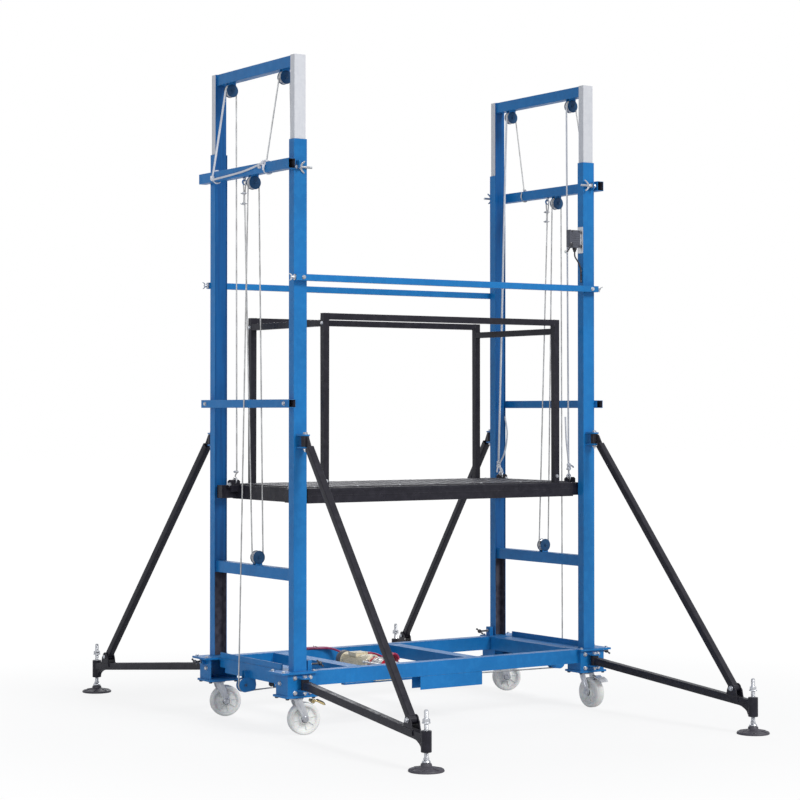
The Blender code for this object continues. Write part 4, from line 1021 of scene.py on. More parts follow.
def guide_roller():
    x, z = -0.6300, 0.1560
    half = [(-0.016, 0.0042), (-0.016, 0.0100), (-0.013, 0.0112), (-0.010, 0.0092)]
    piece("guide_roller_left", roller(half, (x, 0, z), 32), "rubber", "chassis")
    piece("guide_roller_bracket_left", joined(
        block(-0.6380, -0.6220, -0.0220, -0.0190, 0.1490, 0.1868, 0.001),
        block(-0.6380, -0.6220, 0.0190, 0.0220, 0.1490, 0.1868, 0.001),
        block(-0.6400, -0.6200, -0.0225, 0.0225, 0.1840, 0.1868, 0.001)),
        "blue", "chassis", 0.0004)
    piece("guide_roller_pin_left", joined(
        rod((x, -0.0270, z), (x, 0.0270, z), 0.0040, 18, 0.0006),
        hexagon((x, -0.0220, z), (0, -1, 0), 0.011, 0, 0.005)), "zinc", "chassis")


deflection_roller()
guide_roller()

# ---- rope ends on the platform -----------------------------------------------------------------
TIE_TAILS = {  # loose ends of the knotted ropes, from the tie point
    "rr": (((0.002, -0.004, 0.006), (0.012, -0.030, 0.060), (0.018, -0.040, 0.140),
            (0.014, -0.030, 0.215)),
           ((0, 0, 0), (0.008, -0.010, -0.014), (0.014, -0.014, -0.034)),
           ((0, 0, 0), (-0.010, -0.006, -0.012), (-0.014, -0.006, -0.030))),
    "fr": (((0, 0, 0.010), (-0.008, -0.006, 0.050), (-0.020, -0.010, 0.120),
            (-0.026, -0.012, 0.215)),
           ((0, 0, 0.006), (0.012, -0.004, 0.010), (0.022, -0.006, 0.002))),
}


def platform_tie(corner):
    """Ring through the lug, rope eye and its grip or knots."""
    sx, sy = CORNERS[corner]
    lug = Vector((sx * 0.6680, sy * 0.2390, 0.9440))
    ring = ellipse(lug + lift(0.0100), (0, 0.0110, 0), (0, 0, 0.0110), 12)
    cord(f"tie_ring_{corner}", sweep(ring, 0.0028, close=True), "zinc", "platform")
    top = Vector(PLATFORM_TIE[corner])
    eye = lug + lift(0.0200)
    if corner not in TIE_TAILS:
        neck = offsets(eye, (0.003, 0, -0.012), (0.001, 0, 0.010)) + [top + lift(0.004)]
        cord(f"tie_eye_{corner}", joined(loop(eye + lift(0.0030), 0.0200, 0.0075, X),
                                         tail(neck, ROPE_R, laid=True)), "rope", "platform")
        piece(f"tie_clip_{corner}", clip(top + lift(0.0080), X, 0.0052),
              "zinc", "platform", 0.0003)
        return
    radius = 0.0036
    neck = offsets(eye, (0.003, 0, -0.010), (0.001, 0, 0.008)) + [top]
    shapes = [knot(top + lift(-0.002), 0.0080, radius, (0.2, 0, 1)),
              knot(top + lift(0.0130), 0.0070, radius, (0, 0.3, 1)),
              loop(eye + lift(0.0060), 0.0180, 0.0085, X, radius, laid=False),
              tail(neck, radius)]
    shapes += [tail(offsets(top, *steps), radius) for steps in TIE_TAILS[corner]]
    cord(f"tie_knots_{corner}", joined(*shapes), "sheath", "platform")


for corner in ("rl", "fl", "rr", "fr"):
    platform_tie(corner)
for corner in ("rr", "fr"):
    y = BAR_TIE[corner][1]
    cord(f"knot_crossbar_{corner}", joined(
        knot((0.7490, y, 2.2030), 0.0068, 0.0031, (0.2, 1, 0)),
        crossbar_hoop(BAR_X, y, 0.0196, 0.0236, 0.0030)), "rope", "chassis")

# ---- castors: built round the king pin, the wheel trailing along +X ----------------------------
WHEEL_HALF, WHEEL_R, TREAD_R = 0.019, 0.0625, 0.0070
WHEEL_WEB = [  # from the bore out to the tyre
    (-0.0214, 0.0066), (-0.0214, 0.0160), (-0.0210, 0.0175), (-0.0185, 0.0190),
    (-0.0120, 0.0215), (-0.0105, 0.0235), (-0.0105, 0.0420), (-0.0120, 0.0440),
    (-WHEEL_HALF + 0.0012, 0.0472), (-WHEEL_HALF, 0.0490)]
SWIVEL_RACE = [
    (0.1386, 0.0200), (0.1386, 0.0290), (0.1396, 0.0302), (0.1424, 0.0302), (0.1440, 0.0290),
    (0.1458, 0.0260), (0.1458, 0.0200)]
FORK_SIDE = 0.0268  # outer face of a fork leg's rib


def castor_place(corner):
    sx, sy = CORNERS[corner]
    return (Matrix.Translation((sx * CASTOR_X, sy * CASTOR_Y, 0))
            @ Matrix.Rotation(radians(HEADING[corner]), 4, "Z"))


def castor_wheel(name, place):
    centre = Vector((TRAIL, 0, AXLE_Z))
    half = WHEEL_WEB + [(-WHEEL_HALF, WHEEL_R - 0.0075)]
    half += [(-WHEEL_HALF + TREAD_R - TREAD_R * cos(radians(a)),
              WHEEL_R - TREAD_R + TREAD_R * sin(radians(a)) - 0.0004) for a in (0, 25, 50, 72, 90)]
    half += [(-0.0060, WHEEL_R - 0.0001)]
    shapes = [lathe(symmetric(half), centre, Y, 96, ring=True)]
    for e in BOTH:  # shallow moulded spokes in the web
        for k in range(8):
            out, tangent = xz_frame(2 * pi * k / 8 + 0.2)
            web = centre + Vector((0, e * 0.0120, 0))
            shapes.append(beam(web + out * 0.0200, web + out * 0.0450, 0.0032, 0.0046, tangent,
                               0.0012))
    piece(f"castor_tyre_{name}", placed(joined(*shapes), place), "nylon", f"wheel_{name}",
          smooth=45.0, replaces=f"castor_wheel_{name}")
    bearing = [lathe([(e * s, r) for s, r in (
        (0.0206, 0.0066), (0.0206, 0.0150), (0.0219, 0.0150), (0.0222, 0.0142),
        (0.0222, 0.0066))], centre, Y, 40, ring=True) for e in BOTH]
    piece(f"castor_bearing_{name}", placed(joined(*bearing), place), "dark_steel",
          f"wheel_{name}")


def castor_axle(name, place):
    shapes = [hexagon((TRAIL, -0.0266, AXLE_Z), (0, -1, 0), 0.0180, 0.0, 0.0068, 0.35),
              hexagon((TRAIL, 0.0266, AXLE_Z), Y, 0.0180, 0.0, 0.0070, 0.1),
              rod((TRAIL, 0.0300, AXLE_Z), (TRAIL, 0.0372, AXLE_Z), 0.0052, 20, 0.0008)]
    collar = [(-0.0004, 0.0070), (-0.0004, 0.0128), (0.0010, 0.0128), (0.0010, 0.0070)]
    shapes += [lathe(collar, (TRAIL, e * FORK_SIDE, AXLE_Z), (0, e, 0), 28, ring=True)
               for e in BOTH]
    piece(f"castor_axle_{name}", placed(joined(*shapes), place), "zinc", f"castor_{name}",
          0.0004)


def castor_fork(name, place):
    """Two legs with ribs, the top plate, discs round the king pin, and the axle."""
    outline = [(-0.0150, 0.1440), (0.0150, 0.1440), (0.0215, 0.1300), (0.0330, 0.1040),
               (TRAIL + 0.0125, AXLE_Z + 0.0100)]
    outline += [(TRAIL + 0.0130 * cos(radians(a)), AXLE_Z + 0.0130 * sin(radians(a)))
                for a in range(0, -181, -20)]
    outline += [(TRAIL - 0.0135, AXLE_Z + 0.0120), (0.0040, 0.0980), (-0.0090, 0.1200)]
    shapes = []
    for e in BOTH:
        shapes.append(plate(outline, "y", e * 0.0237, e * 0.0264))
        y = e * FORK_SIDE
        shapes.append(sweep(curved([(0.0020, y, 0.1330), (0.0120, y, 0.1120),
                                    (0.0240, y, 0.0860)]), 0.0013, 8))
    shapes.append(plate(rounded(0.036, 0.053, 0.006, 5), "z", 0.1368, 0.1398))
    shapes.append(lathe([(0.1372, 0), (0.1372, 0.0285), (0.1384, 0.0290), (0.1384, 0)],
                        (0, 0, 0), Z, 56))
    shapes.append(rod((0, 0, 0.1384), (0, 0, 0.1466), 0.0110, 40))
    shapes.append(rod((TRAIL, -0.0262, AXLE_Z), (TRAIL, 0.0262, AXLE_Z), 0.0056))
    piece(f"castor_fork_body_{name}", placed(joined(*shapes), place), "light_zinc",
          f"castor_{name}", 0.0005, replaces=f"castor_fork_{name}")
    race = lathe(SWIVEL_RACE, (0, 0, 0), Z, 56, ring=True)
    piece(f"castor_race_{name}", placed(race, place), "zinc", f"castor_{name}")


def brake(name, pad_finish):
    """The pedal's ribbed pad and its spring."""
    place = castor_place(name)
    pad = [(0.0862, 0.1290), (0.0868, 0.1316), (0.0990, 0.1272), (0.1088, 0.1222),
           (0.1138, 0.1130), (0.1118, 0.1118), (0.1074, 0.1196), (0.0980, 0.1246)]
    ribs = [beam((x, -0.0170, z + 0.0016), (x, 0.0170, z + 0.0016), 0.0024, 0.0022,
                 (1, 0, -0.4), 0.0008)
            for x, z in ((0.0910, 0.1294), (0.0955, 0.1276), (0.1000, 0.1256), (0.1045, 0.1234))]
    piece(f"brake_pad_{name}", placed(joined(plate(pad, "y", -0.0196, 0.0196), *ribs), place),
          pad_finish, f"brake_{name}", 0.0006)
    helix = [(0.0640 + 0.0088 * cos(radians(a)), -0.0170 + 0.0085 * a / 2520,
              0.1290 + 0.0088 * sin(radians(a))) for a in range(0, 1441, 24)]
    cord(f"brake_spring_{name}", placed(sweep(helix, 0.0009, 8), place), "dark_steel",
         f"brake_{name}")


for corner in CORNERS:
    place = castor_place(corner)
    castor_wheel(corner, place)
    castor_axle(corner, place)
    castor_fork(corner, place)
brake("fl", "rubber")
brake("fr", "zinc")

# ---- outriggers: built round the pivot, the arm reaching along +X ------------------------------
ARM_HIGH, ARM_LOW = 0.197, 0.113  # the arm's centre line at the pivot and at the jack
PAD_PROFILE = [  # height, radius
    (0.0, 0.0), (0.0, 0.0612), (0.0012, 0.0628), (0.0050, 0.0630), (0.0068, 0.0618),
    (0.0086, 0.0560), (0.0106, 0.0470), (0.0120, 0.0400), (0.0136, 0.0345), (0.0150, 0.0330),
    (0.0172, 0.0250), (0.0186, 0.0210), (0.0196, 0.0200), (0.0262, 0.0192), (0.0278, 0.0178),
    (0.0278, 0.0)]


def arm_z(x):
    return ARM_HIGH + (ARM_LOW - ARM_HIGH) / REACH * x


def outrigger_place(corner):
    sx, sy = CORNERS[corner]
    splay = radians(SPLAY[corner])
    out = Vector((sx * sin(splay), sy * cos(splay), 0))
    across = Vector(Z).cross(out)
    turn = Matrix((out, across, Z)).transposed().to_4x4()
    return Matrix.Translation((sx * POST_X, sy * PIVOT_Y, 0)) @ turn


def arm(name, place, body):
    tube = beam((0.0120, 0, arm_z(0.0120)), (REACH - 0.0130, 0, arm_z(REACH - 0.0130)),
                0.030, 0.030, Y, 0.0038, 4, wall=0.0025)
    knuckle = lathe([(0.1780, 0.0064), (0.1780, 0.0150), (0.1790, 0.0160), (0.2177, 0.0160),
                     (0.2187, 0.0150), (0.2187, 0.0064)], (0, 0, 0), Z, 48, ring=True)
    sleeve = lathe([(0.0660, 0.0084), (0.0660, 0.0178), (0.0674, 0.0190), (0.1388, 0.0190),
                    (0.1400, 0.0180), (0.1400, 0.0084)], (REACH, 0, 0), Z, 56, ring=True)
    ear = [(CLEVIS_X + s, arm_z(CLEVIS_X + s) - 0.004) for s in (-0.030, 0.034)]
    ear += [(CLEVIS_X + 0.0245, CLEVIS_Z - 0.004)]
    ear += [(CLEVIS_X + 0.0178 * cos(radians(a)), CLEVIS_Z + 0.0010 + 0.0178 * sin(radians(a)))
            for a in range(10, 171, 16)]
    ear += [(CLEVIS_X - 0.0215, CLEVIS_Z - 0.004)]
    ears = [plate(ear, "y", e * 0.0146, e * 0.0190) for e in BOTH]
    web = [(REACH - back, arm_z(REACH - back) - drop)
           for back, drop in ((0.0700, 0.0146), (0.0500, 0.0178), (0.0340, 0.0240))]
    web += [(REACH - 0.0240, 0.0840), (REACH - 0.0186, 0.0720), (REACH - 0.0176, 0.0720),
            (REACH - 0.0176, arm_z(REACH) + 0.0020),
            (REACH - 0.0700, arm_z(REACH - 0.07) - 0.0100)]
    shapes = [tube, knuckle, sleeve, *ears, plate(web, "y", -0.0100, 0.0100)]
    piece(f"arm_{name}", placed(joined(*shapes), place), "black", body, 0.0006,
          replaces=f"outrigger_arm_{name}")
    welds = [weld_bead((CLEVIS_X - 0.028, e * 0.0196, arm_z(CLEVIS_X - 0.028) + 0.0148),
                       (CLEVIS_X + 0.030, e * 0.0196, arm_z(CLEVIS_X + 0.030) + 0.0148), 0.0034)
             for e in BOTH]
    ring = [Vector((REACH - 0.0196 * cos(radians(a)), 0.0196 * sin(radians(a)),
                    arm_z(REACH - 0.018) + 0.0158)) for a in range(-48, 49, 8)]
    welds.append(sweep(ring, 0.0017, 8))
    welds.append(sweep([p + lift(-0.0312) for p in ring], 0.0017, 8))
    piece(f"arm_welds_{name}", placed(joined(*welds), place), "weld_black", body, smooth=60.0)
    pin = [bolt((CLEVIS_X, -0.0190, CLEVIS_Z), (0, -1, 0), 0.0100, 0.0062),
           hexagon((CLEVIS_X, 0.0190, CLEVIS_Z), Y, 0.0150, 0.0, 0.0060, 0.2),
           rod((CLEVIS_X, 0.0210, CLEVIS_Z), (CLEVIS_X, 0.0268, CLEVIS_Z), 0.0048, 20, 0.0008)]
    piece(f"clevis_bolt_{name}", placed(joined(*pin), place), "zinc", body, 0.0003)


def brace(name, place, body):
    """The sloping tube from the clevis to the post, with a flat web at its top."""
    foot, head = Vector((CLEVIS_X, 0, CLEVIS_Z)), Vector((0.014, 0, BRACE_Z))
    run = (head - foot).normalized()
    over = Vector(Y).cross(run) * 0.0127
    tube_top = foot + run * ((0.034 - CLEVIS_X) / run.x)
    inner = tube_top - run * 0.040
    web = [(p.x, p.z) for p in (inner + over, tube_top + over)]
    web += [(0.024, BRACE_Z + 0.017), (0.008, BRACE_Z + 0.017), (0.008, BRACE_Z - 0.017),
            (0.0222, BRACE_Z - 0.017)]
    web += [(p.x, p.z) for p in (tube_top - over, inner - over)]
    knuckle = symmetric([(-0.0200, 0.0064), (-0.0200, 0.0146), (-0.0191, 0.0155)])
    boss = symmetric([(-0.0132, 0.0055), (-0.0132, 0.0148)])
    shapes = [beam(foot + run * 0.0090, tube_top, 0.0275, 0.0275, Y, 0.0034, 4, wall=0.0021),
              plate(web, "y", -0.0040, 0.0040),
              lathe(knuckle, (0, 0, BRACE_Z), Z, 48, ring=True),
              lathe(boss, foot, Y, 48, ring=True)]
    piece(f"brace_{name}", placed(joined(*shapes), place), "black", body, 0.0006,
          replaces=f"outrigger_brace_{name}")


def pivots(name, place):
    """Hinge bolts, on the post and at the base."""
    down = (0, 0, -1)
    top = joined(bolt((0, 0, BRACE_Z + 0.0268), Z, 0.0100, 0.0064),
                 bolt((0, 0, BRACE_Z - 0.0266), down, 0.0100, 0.0062, turn=0.1, shank=0.006))
    piece(f"brace_pivot_{name}", placed(top, place), "zinc", "chassis", 0.0003)
    base = joined(bolt((0, 0, 0.2247), Z, 0.0100, 0.0058),
                  bolt((0, 0, 0.1720), down, 0.0100, 0.0060, turn=0.2, shank=0.006))
    piece(f"arm_pivot_{name}", placed(base, place), "zinc", "chassis", 0.0003)


def jack(name, place):
    """Moulded pad, ball socket, threaded spindle and its nuts."""
    foot = Vector((REACH, 0, 0))
    lip = [(0.0052, 0.0560), (0.0052, 0.0612), (0.0084, 0.0608), (0.0092, 0.0590),
           (0.0084, 0.0572)]
    shapes = [lathe(PAD_PROFILE, foot, Z, 80), lathe(lip, foot, Z, 72, ring=True)]
    for k in range(6):  # ribs on the pad
        a = 2 * pi * k / 6 + 0.3
        out, tangent = Vector((cos(a), sin(a), 0)), Vector((-sin(a), cos(a), 0))
        shapes.append(beam(foot + lift(0.0160) + out * 0.0180, foot + lift(0.0084) + out * 0.0560,
                           0.0040, 0.0060, tangent, 0.0016, 3))
    piece(f"jack_pad_{name}", placed(joined(*shapes), place), "pad", f"jack_{name}",
          replaces=f"outrigger_jack_{name}")
    socket = [(0.0270, 0), (0.0270, 0.0140), (0.0290, 0.0150), (0.0330, 0.0158),
              (0.0368, 0.0140), (0.0390, 0.0104), (0.0400, 0)]
    collar = [(0.1650, 0.0082), (0.1650, 0.0150), (0.1672, 0.0152), (0.1684, 0.0146),
              (0.1684, 0.0082)]
    shapes = [lathe(socket, foot, Z, 40),
              hexagon((REACH, 0, 0.0400), Z, 0.0190, -0.0006, 0.0072, 0.3),
              thread((REACH, 0, 0.0440), Z, 0.0080, 0.1640, 0.0040, 24),
              rod((REACH, 0, 0.2076), (REACH, 0, 0.2120), 0.0062, 24, 0.0014),
              hexagon((REACH, 0, 0.1682), Z, 0.0240, 0.0, 0.0125, 0.15),
              lathe(collar, foot, Z, 40, ring=True)]
    piece(f"jack_spindle_{name}", placed(joined(*shapes), place), "zinc", f"jack_{name}",
          smooth=32.0)


for corner in CORNERS:
    place, body = outrigger_place(corner), f"outrigger_{corner}"
    arm(corner, place, body)
    brace(corner, place, body)
    pivots(corner, place)
    jack(corner, place)


# ---- clamp screws ------------------------------------------------------------------------------
def clamp(corner, sx, sy):
    """A screw with a cross handle: outside the post on two corners, inside it on the others."""
    outer = sx * sy < 0
    y, z = sy * POST_Y, 0.2260 if outer else 0.2670
    tip, head, nut = (0.7725, 0.811, 0.784) if outer else (0.6725, 0.606, 0.650)
    step = 1 if outer else -1
    axis = (sx * step, 0, 0)
    handle_x = sx * (head + step * 0.002)
    hub = symmetric([(-0.0064, 0), (-0.0064, 0.0056), (-0.0050, 0.0074)], [(0, 0.0086)])
    knob = symmetric([(-0.0034, 0), (-0.0030, 0.0030)], [(0, 0.0046)])
    start, end = (Vector((handle_x, y + e * 0.0195, z + e * 0.0078)) for e in BOTH)
    piece(f"clamp_handle_{corner}", joined(
        thread((sx * tip, y, z), axis, 0.0040, abs(head - tip) - 0.004, 0.0018, 18, 0.10),
        lathe(hub, (handle_x, y, z), X, 36), rod(start, end, 0.0032, 20, 0.0008),
        *[lathe(knob, p, end - start, 20) for p in (start, end)]),
        "dark_steel", f"clamp_{corner}", smooth=40.0, replaces=f"clamp_screw_{corner}")
    piece(f"clamp_locknut_{corner}",
          hexagon((sx * nut, y, z), axis, 0.0130, 0.0004, 0.0058, 0.2),
          "zinc", f"clamp_{corner}", 0.0003)


for corner, (sx, sy) in CORNERS.items():
    clamp(corner, sx, sy)

# ---- fasteners on the frame --------------------------------------------------------------------
BAR_WING = [  # one wing of a wing nut: across, along its axis
    (0, 0.0036), (0.0110, 0.0080), (0.0195, 0.0170), (0.0235, 0.0185), (0.0235, 0.0130),
    (0.0150, 0.0020), (0.0072, -0.0036), (0, -0.0036)]
TIE_WING = [
    (0, 0.0030), (0.0070, 0.0056), (0.0120, 0.0120), (0.0144, 0.0124), (0.0140, 0.0090),
    (0.0092, 0.0012), (0.0046, -0.0024), (0, -0.0024)]


def wings(outline, half_thick, at, tilt, turn):
    """Two wings of a nut, tilted about Y and turned about their own axis, in degrees."""
    matrix = (Matrix.Translation(at) @ Matrix.Rotation(radians(tilt), 4, "Y")
              @ Matrix.Rotation(radians(turn), 4, "Z"))
    return [placed(plate([(e * u, v) for u, v in outline], "y", -half_thick, half_thick), matrix)
            for e in BOTH]


def crossbar_bolts():
    bolts, lugs = [], []
    for side, sx in SIDES.items():
        left = side == "left"
        out = 0.0120 if left else 0.0
        z = UPPER_Z - (0.0110 if left else 0.0)
        for sy in BOTH:
            y = 0.3460 if sy > 0 else -0.3340 if left else -0.3400
            bolts.append(rod((sx * (BAR_X - 0.0140), y, z), (sx * 0.6570, y, z), 0.0048, 20,
                             0.0008))
            bolts.append(hexagon((sx * (0.7105 + out * 0.5), y, z), (-sx, 0, 0), 0.0160, 0.0,
                                 0.0078, 0.1))
            bolts.append(hexagon((sx * (BAR_X - 0.0200), y, z), (sx, 0, 0), 0.0150, -0.0070,
                                 0.0, 0.5))
            bolts.append(washer((sx * (0.7125 + out * 0.5), y, z), (-sx, 0, 0), 0.0052, 0.0108))
            bolts += wings(BAR_WING, 0.0018, (sx * (0.6950 + out), y, z), -90 * sx, 8)
            bolts.append(lathe([(-0.0050, 0.0050), (-0.0050, 0.0082), (0.0050, 0.0068),
                                (0.0050, 0.0050)], (sx * (0.6970 + out), y, z), (-sx, 0, 0), 28,
                               ring=True))
            near, mid, far = sy * 0.3288, sy * 0.3530 - sy * 0.006, sy * 0.3530
            outline = [(near, UPPER_Z - 0.018), (mid, UPPER_Z - 0.018), (far, UPPER_Z - 0.012),
                       (far, UPPER_Z + 0.008), (mid, UPPER_Z + 0.014), (near, UPPER_Z + 0.014)]
            lugs.append(plate(outline, "x", sx * (0.7130 + out * 0.5), sx * (0.7175 + out * 0.5)))
            for x in (0.7122, 0.7183):
                x = sx * (x + out * 0.5)
                lugs.append(weld_bead((x, sy * 0.3294, UPPER_Z - 0.017),
                                      (x, sy * 0.3294, UPPER_Z + 0.013), 0.0030))
    piece("crossbar_bolts", joined(*bolts), "zinc", "chassis", 0.0003)
    piece("crossbar_lugs", joined(*lugs), "blue", "chassis", 0.0004)


def tie_rail_bolts():
    shapes = []
    hub = [(-0.0030, 0.0040), (-0.0030, 0.0062), (0.0042, 0.0052), (0.0042, 0.0040)]
    for sx in BOTH:
        for sy in BOTH:
            face = POST_Y + 0.019 + 0.0003
            shapes.append(bolt((sx * POST_X, sy * (face + 0.025), TIE_Z), (0, sy, 0), 0.0080,
                               0.0052))
            y = sy * (face + 0.0125)
            axis = (sx, 0, 0)
            shapes.append(rod((sx * 0.7360, y, TIE_Z), (sx * 0.7560, y, TIE_Z), 0.0040, 20,
                              0.0008))
            shapes.append(washer((sx * 0.7381, y, TIE_Z), axis, 0.0042, 0.0115))
            shapes.append(hexagon((sx * 0.7396, y, TIE_Z), axis, 0.0128, 0.0, 0.0062, 0.2))
            shapes += wings(TIE_WING, 0.0012, (sx * 0.7500, y, TIE_Z), 90 * sx, 25 + 20 * sx)
            shapes.append(lathe(hub, (sx * 0.7490, y, TIE_Z), axis, 28, ring=True))
    piece("tie_rail_bolts", joined(*shapes), "zinc", "chassis", 0.0003)


def chassis_bolts():
    middles = [bolt((sx * (BAR_X + BAR_FACE), sy * POST_Y, MIDDLE_Z), (sx, 0, 0), 0.0080, 0.0050,
                    turn=0.1 * sy) for sx in BOTH for sy in BOTH]
    corners, castors = [], []
    for sx, sy in CORNERS.values():
        for x, y in ((0.7850, 0.2600), (0.7850, 0.3420), (0.6520, 0.3430)):
            corners.append(bolt((sx * x, sy * y, 0.2450), Z, 0.0075, 0.0048, turn=x * 9))
        for x in (0.6520, 0.7680):
            for y in (0.2600, 0.3400):
                castors.append(bolt((sx * x, sy * y, 0.1470), (0, 0, -1), 0.0080, 0.0046,
                                    turn=y * 7))
        for x in (0.6700, 0.7380):  # outrigger bracket on the corner block
            for z in (0.1660, 0.2225):
                corners.append(bolt((sx * x, sy * 0.3450, z), (0, sy, 0), 0.0085, 0.0056,
                                    turn=z * 11))
        corners.append(bolt((sx * 0.7700, sy * 0.2900, 0.2000), (sx, 0, 0), 0.0085, 0.0056,
                            turn=0.4))
    piece("crossbar_middle_bolts", joined(*middles), "zinc", "chassis", 0.0003)
    piece("corner_bolts", joined(*corners), "zinc", "chassis", 0.0003)
    piece("castor_plate_bolts", joined(*castors), "dark_steel", "chassis", 0.0003)


crossbar_bolts()
tie_rail_bolts()
chassis_bolts()


# ---- welds where tubes meet --------------------------------------------------------------------
def frame_welds():
    beads = []
    for sx, sy in CORNERS.values():
        for e in BOTH:  # post foot
            x = sx * POST_X + e * 0.0295
            beads.append(weld_bead((x, sy * 0.2915, 0.2460), (x, sy * 0.3288, 0.2460)))
        beads.append(weld_bead((sx * POST_X - 0.0285, sy * 0.3294, 0.2460),
                               (sx * POST_X + 0.0285, sy * 0.3294, 0.2460)))
        for z in (BRACE_Z - 0.0275, BRACE_Z + 0.0275):
            beads.append(weld_bead((sx * POST_X - 0.0195, sy * 0.3296, z),
                                   (sx * POST_X + 0.0195, sy * 0.3296, z), 0.0028))
    for x0, x1 in ((-0.460, -0.400), (0.100, 0.160)):
        for y in (-0.2846, 0.2846):
            beads.append(weld_bead((x0 + 0.002, y, 0.2424), (x1 - 0.002, y, 0.2424), 0.0030))
            for x in (x0, x1):
                beads.append(weld_bead((x, y, 0.1960), (x, y, 0.2410), 0.0030))
    for sx in BOTH:
        for e in BOTH:
            x = sx * (0.7330 + e * 0.0022)
            beads.append(weld_bead((x, -0.2380, 0.2436), (x, 0.2380, 0.2436), 0.0022))
    piece("frame_welds", joined(*beads), "weld", "chassis", smooth=60.0)


def mast_welds(side, sx):
    beads = []
    for sy in BOTH:
        y = sy * 0.2932
        for z in (2.5565, 2.5990, 0.5862, 0.6300):
            beads.append(weld_bead((sx * POST_X - 0.0170, y, z), (sx * POST_X + 0.0170, y, z),
                                   0.0026))
        for e in BOTH:
            x = sx * POST_X + e * 0.0182
            for low, high in ((2.5570, 2.5980), (0.5870, 0.6290)):
                beads.append(weld_bead((x, y, low), (x, y, high), 0.0026))
    piece(f"mast_welds_{side}", joined(*beads), "weld", f"mast_{side}", smooth=60.0)


def platform_welds():
    beads = []
    for sx in BOTH:
        for sy in BOTH:
            for e in BOTH:
                x = sx * 0.565 + e * 0.0129
                beads.append(weld_bead((x, sy * 0.2690, 0.9392), (x, sy * 0.2910, 0.9392),
                                       0.0026))
            beads.append(weld_bead((sx * 0.565 - 0.0120, sy * 0.2929, 0.9392),
                                   (sx * 0.565 + 0.0120, sy * 0.2929, 0.9392), 0.0024))
            for z in (0.8850, 0.9360):
                beads.append(weld_bead((sx * 0.6548, sy * 0.2475, z),
                                       (sx * 0.6548, sy * 0.2540, z), 0.0024))
    piece("platform_welds", joined(*beads), "weld_black", "platform", smooth=60.0)


frame_welds()
for side, sx in SIDES.items():
    mast_welds(side, sx)
platform_welds()


# ---- platform ----------------------------------------------------------------------------------
def deck_studs():
    """Anti-slip lozenges pressed up in the deck, turned alternately by 90 degrees."""
    pitch = 0.030
    faces = [(0, 1, 6), (1, 2, 7, 6), (2, 3, 7), (3, 4, 7), (4, 5, 6, 7), (5, 0, 6),
             (5, 4, 3, 2, 1, 0)]
    outline = [(-0.0085, 0), (-0.004, -0.0021), (0.004, -0.0021), (0.0085, 0), (0.004, 0.0021),
               (-0.004, 0.0021)]
    studs = []
    for i in range(42):
        for j in range(17):
            along = Vector((1, 1 if (i + j) % 2 else -1, 0)).normalized()
            across = Vector((-along.y, along.x, 0))
            centre = Vector((-0.615 + i * pitch, -0.240 + j * pitch, 0.9419))
            points = [centre + along * u + across * v for u, v in outline]
            points += [centre + along * u + lift(0.0012) for u in (-0.0045, 0.0045)]
            studs.append((points, faces))
    piece("deck_studs", joined(*studs), "deck", "platform", smooth=20.0)


def deck_rivets():
    dome = [(-0.0003, 0), (-0.0003, 0.0052), (0.0006, 0.0048), (0.0015, 0.0032), (0.0019, 0)]
    rivets = [lathe(dome, (x, sy * 0.2590, 0.9420), Z, 20)
              for x in (-0.600, -0.400, -0.200, 0.200, 0.400, 0.600) for sy in BOTH]
    piece("deck_rivets", joined(*rivets), "zinc", "platform")


def rail_lips():
    lips = []
    for sy in BOTH:
        for y, z, thick, height in ((0.2930, 0.9305, 0.0014, 0.0130),
                                    (0.2929, 0.9095, 0.0012, 0.0040)):
            lips.append(beam((-0.6500, sy * y, z), (0.6500, sy * y, z), thick, height, Y, 0.0005))
    for x in (-0.6554, 0.6554):
        lips.append(beam((x, -0.2300, 0.9305), (x, 0.2300, 0.9305), 0.0012, 0.0120, X, 0.0005))
    piece("platform_rail_lips", joined(*lips), "black", "platform")


def platform_bolts():
    """Bolts of the guard rails, of their feet and of the end rails."""
    bolts = []
    for sx, drop in ((-1, 0.026), (1, 0.036)):
        z = 1.615 - 0.0125 - drop
        for y in (0.2800, -0.2800):
            bolts.append(bolt((sx * 0.5775, y, z), (sx, 0, 0), 0.0070, 0.0044))
        for sy in BOTH:
            bolts.append(bolt((sx * 0.5650, sy * 0.2925, 0.9650), (0, sy, 0), 0.0070, 0.0044))
            bolts.append(bolt((sx * 0.6960, sy * 0.2360, 0.9400), (0, -sy, 0), 0.0070, 0.0044))
    piece("platform_bolts", joined(*bolts), "zinc", "platform", 0.0003)


deck_studs()
deck_rivets()
rail_lips()
platform_bolts()

# ---- hoist: its axis runs along Y; profiles are (distance along the axis, radius) --------------
MOTOR = [
    (-0.0850, 0.0), (-0.0850, 0.0290), (-0.0835, 0.0310), (-0.0780, 0.0345), (-0.0740, 0.0350),
    (0.0700, 0.0315), (0.0740, 0.0355), (0.0780, 0.0350), (0.0840, 0.0320), (0.0850, 0.0300),
    (0.0850, 0.0)]
GEARBOX = [
    (-0.0200, 0.0098), (-0.0200, 0.0300), (-0.0188, 0.0370), (-0.0160, 0.0400),
    (-0.0120, 0.0405), (0.0120, 0.0405), (0.0160, 0.0400), (0.0188, 0.0370), (0.0200, 0.0)]
END_BEARING = [
    (-0.1795, 0.0095), (-0.1795, 0.0160), (-0.1802, 0.0165), (-0.1880, 0.0165),
    (-0.1888, 0.0155), (-0.1888, 0.0095)]
FAN_COWL = [
    (-0.0130, 0.0), (-0.0130, 0.0360), (-0.0118, 0.0380), (-0.0095, 0.0388), (0.0060, 0.0388),
    (0.0098, 0.0380), (0.0122, 0.0355), (0.0130, 0.0330), (0.0126, 0.0310), (0.0126, 0.0)]
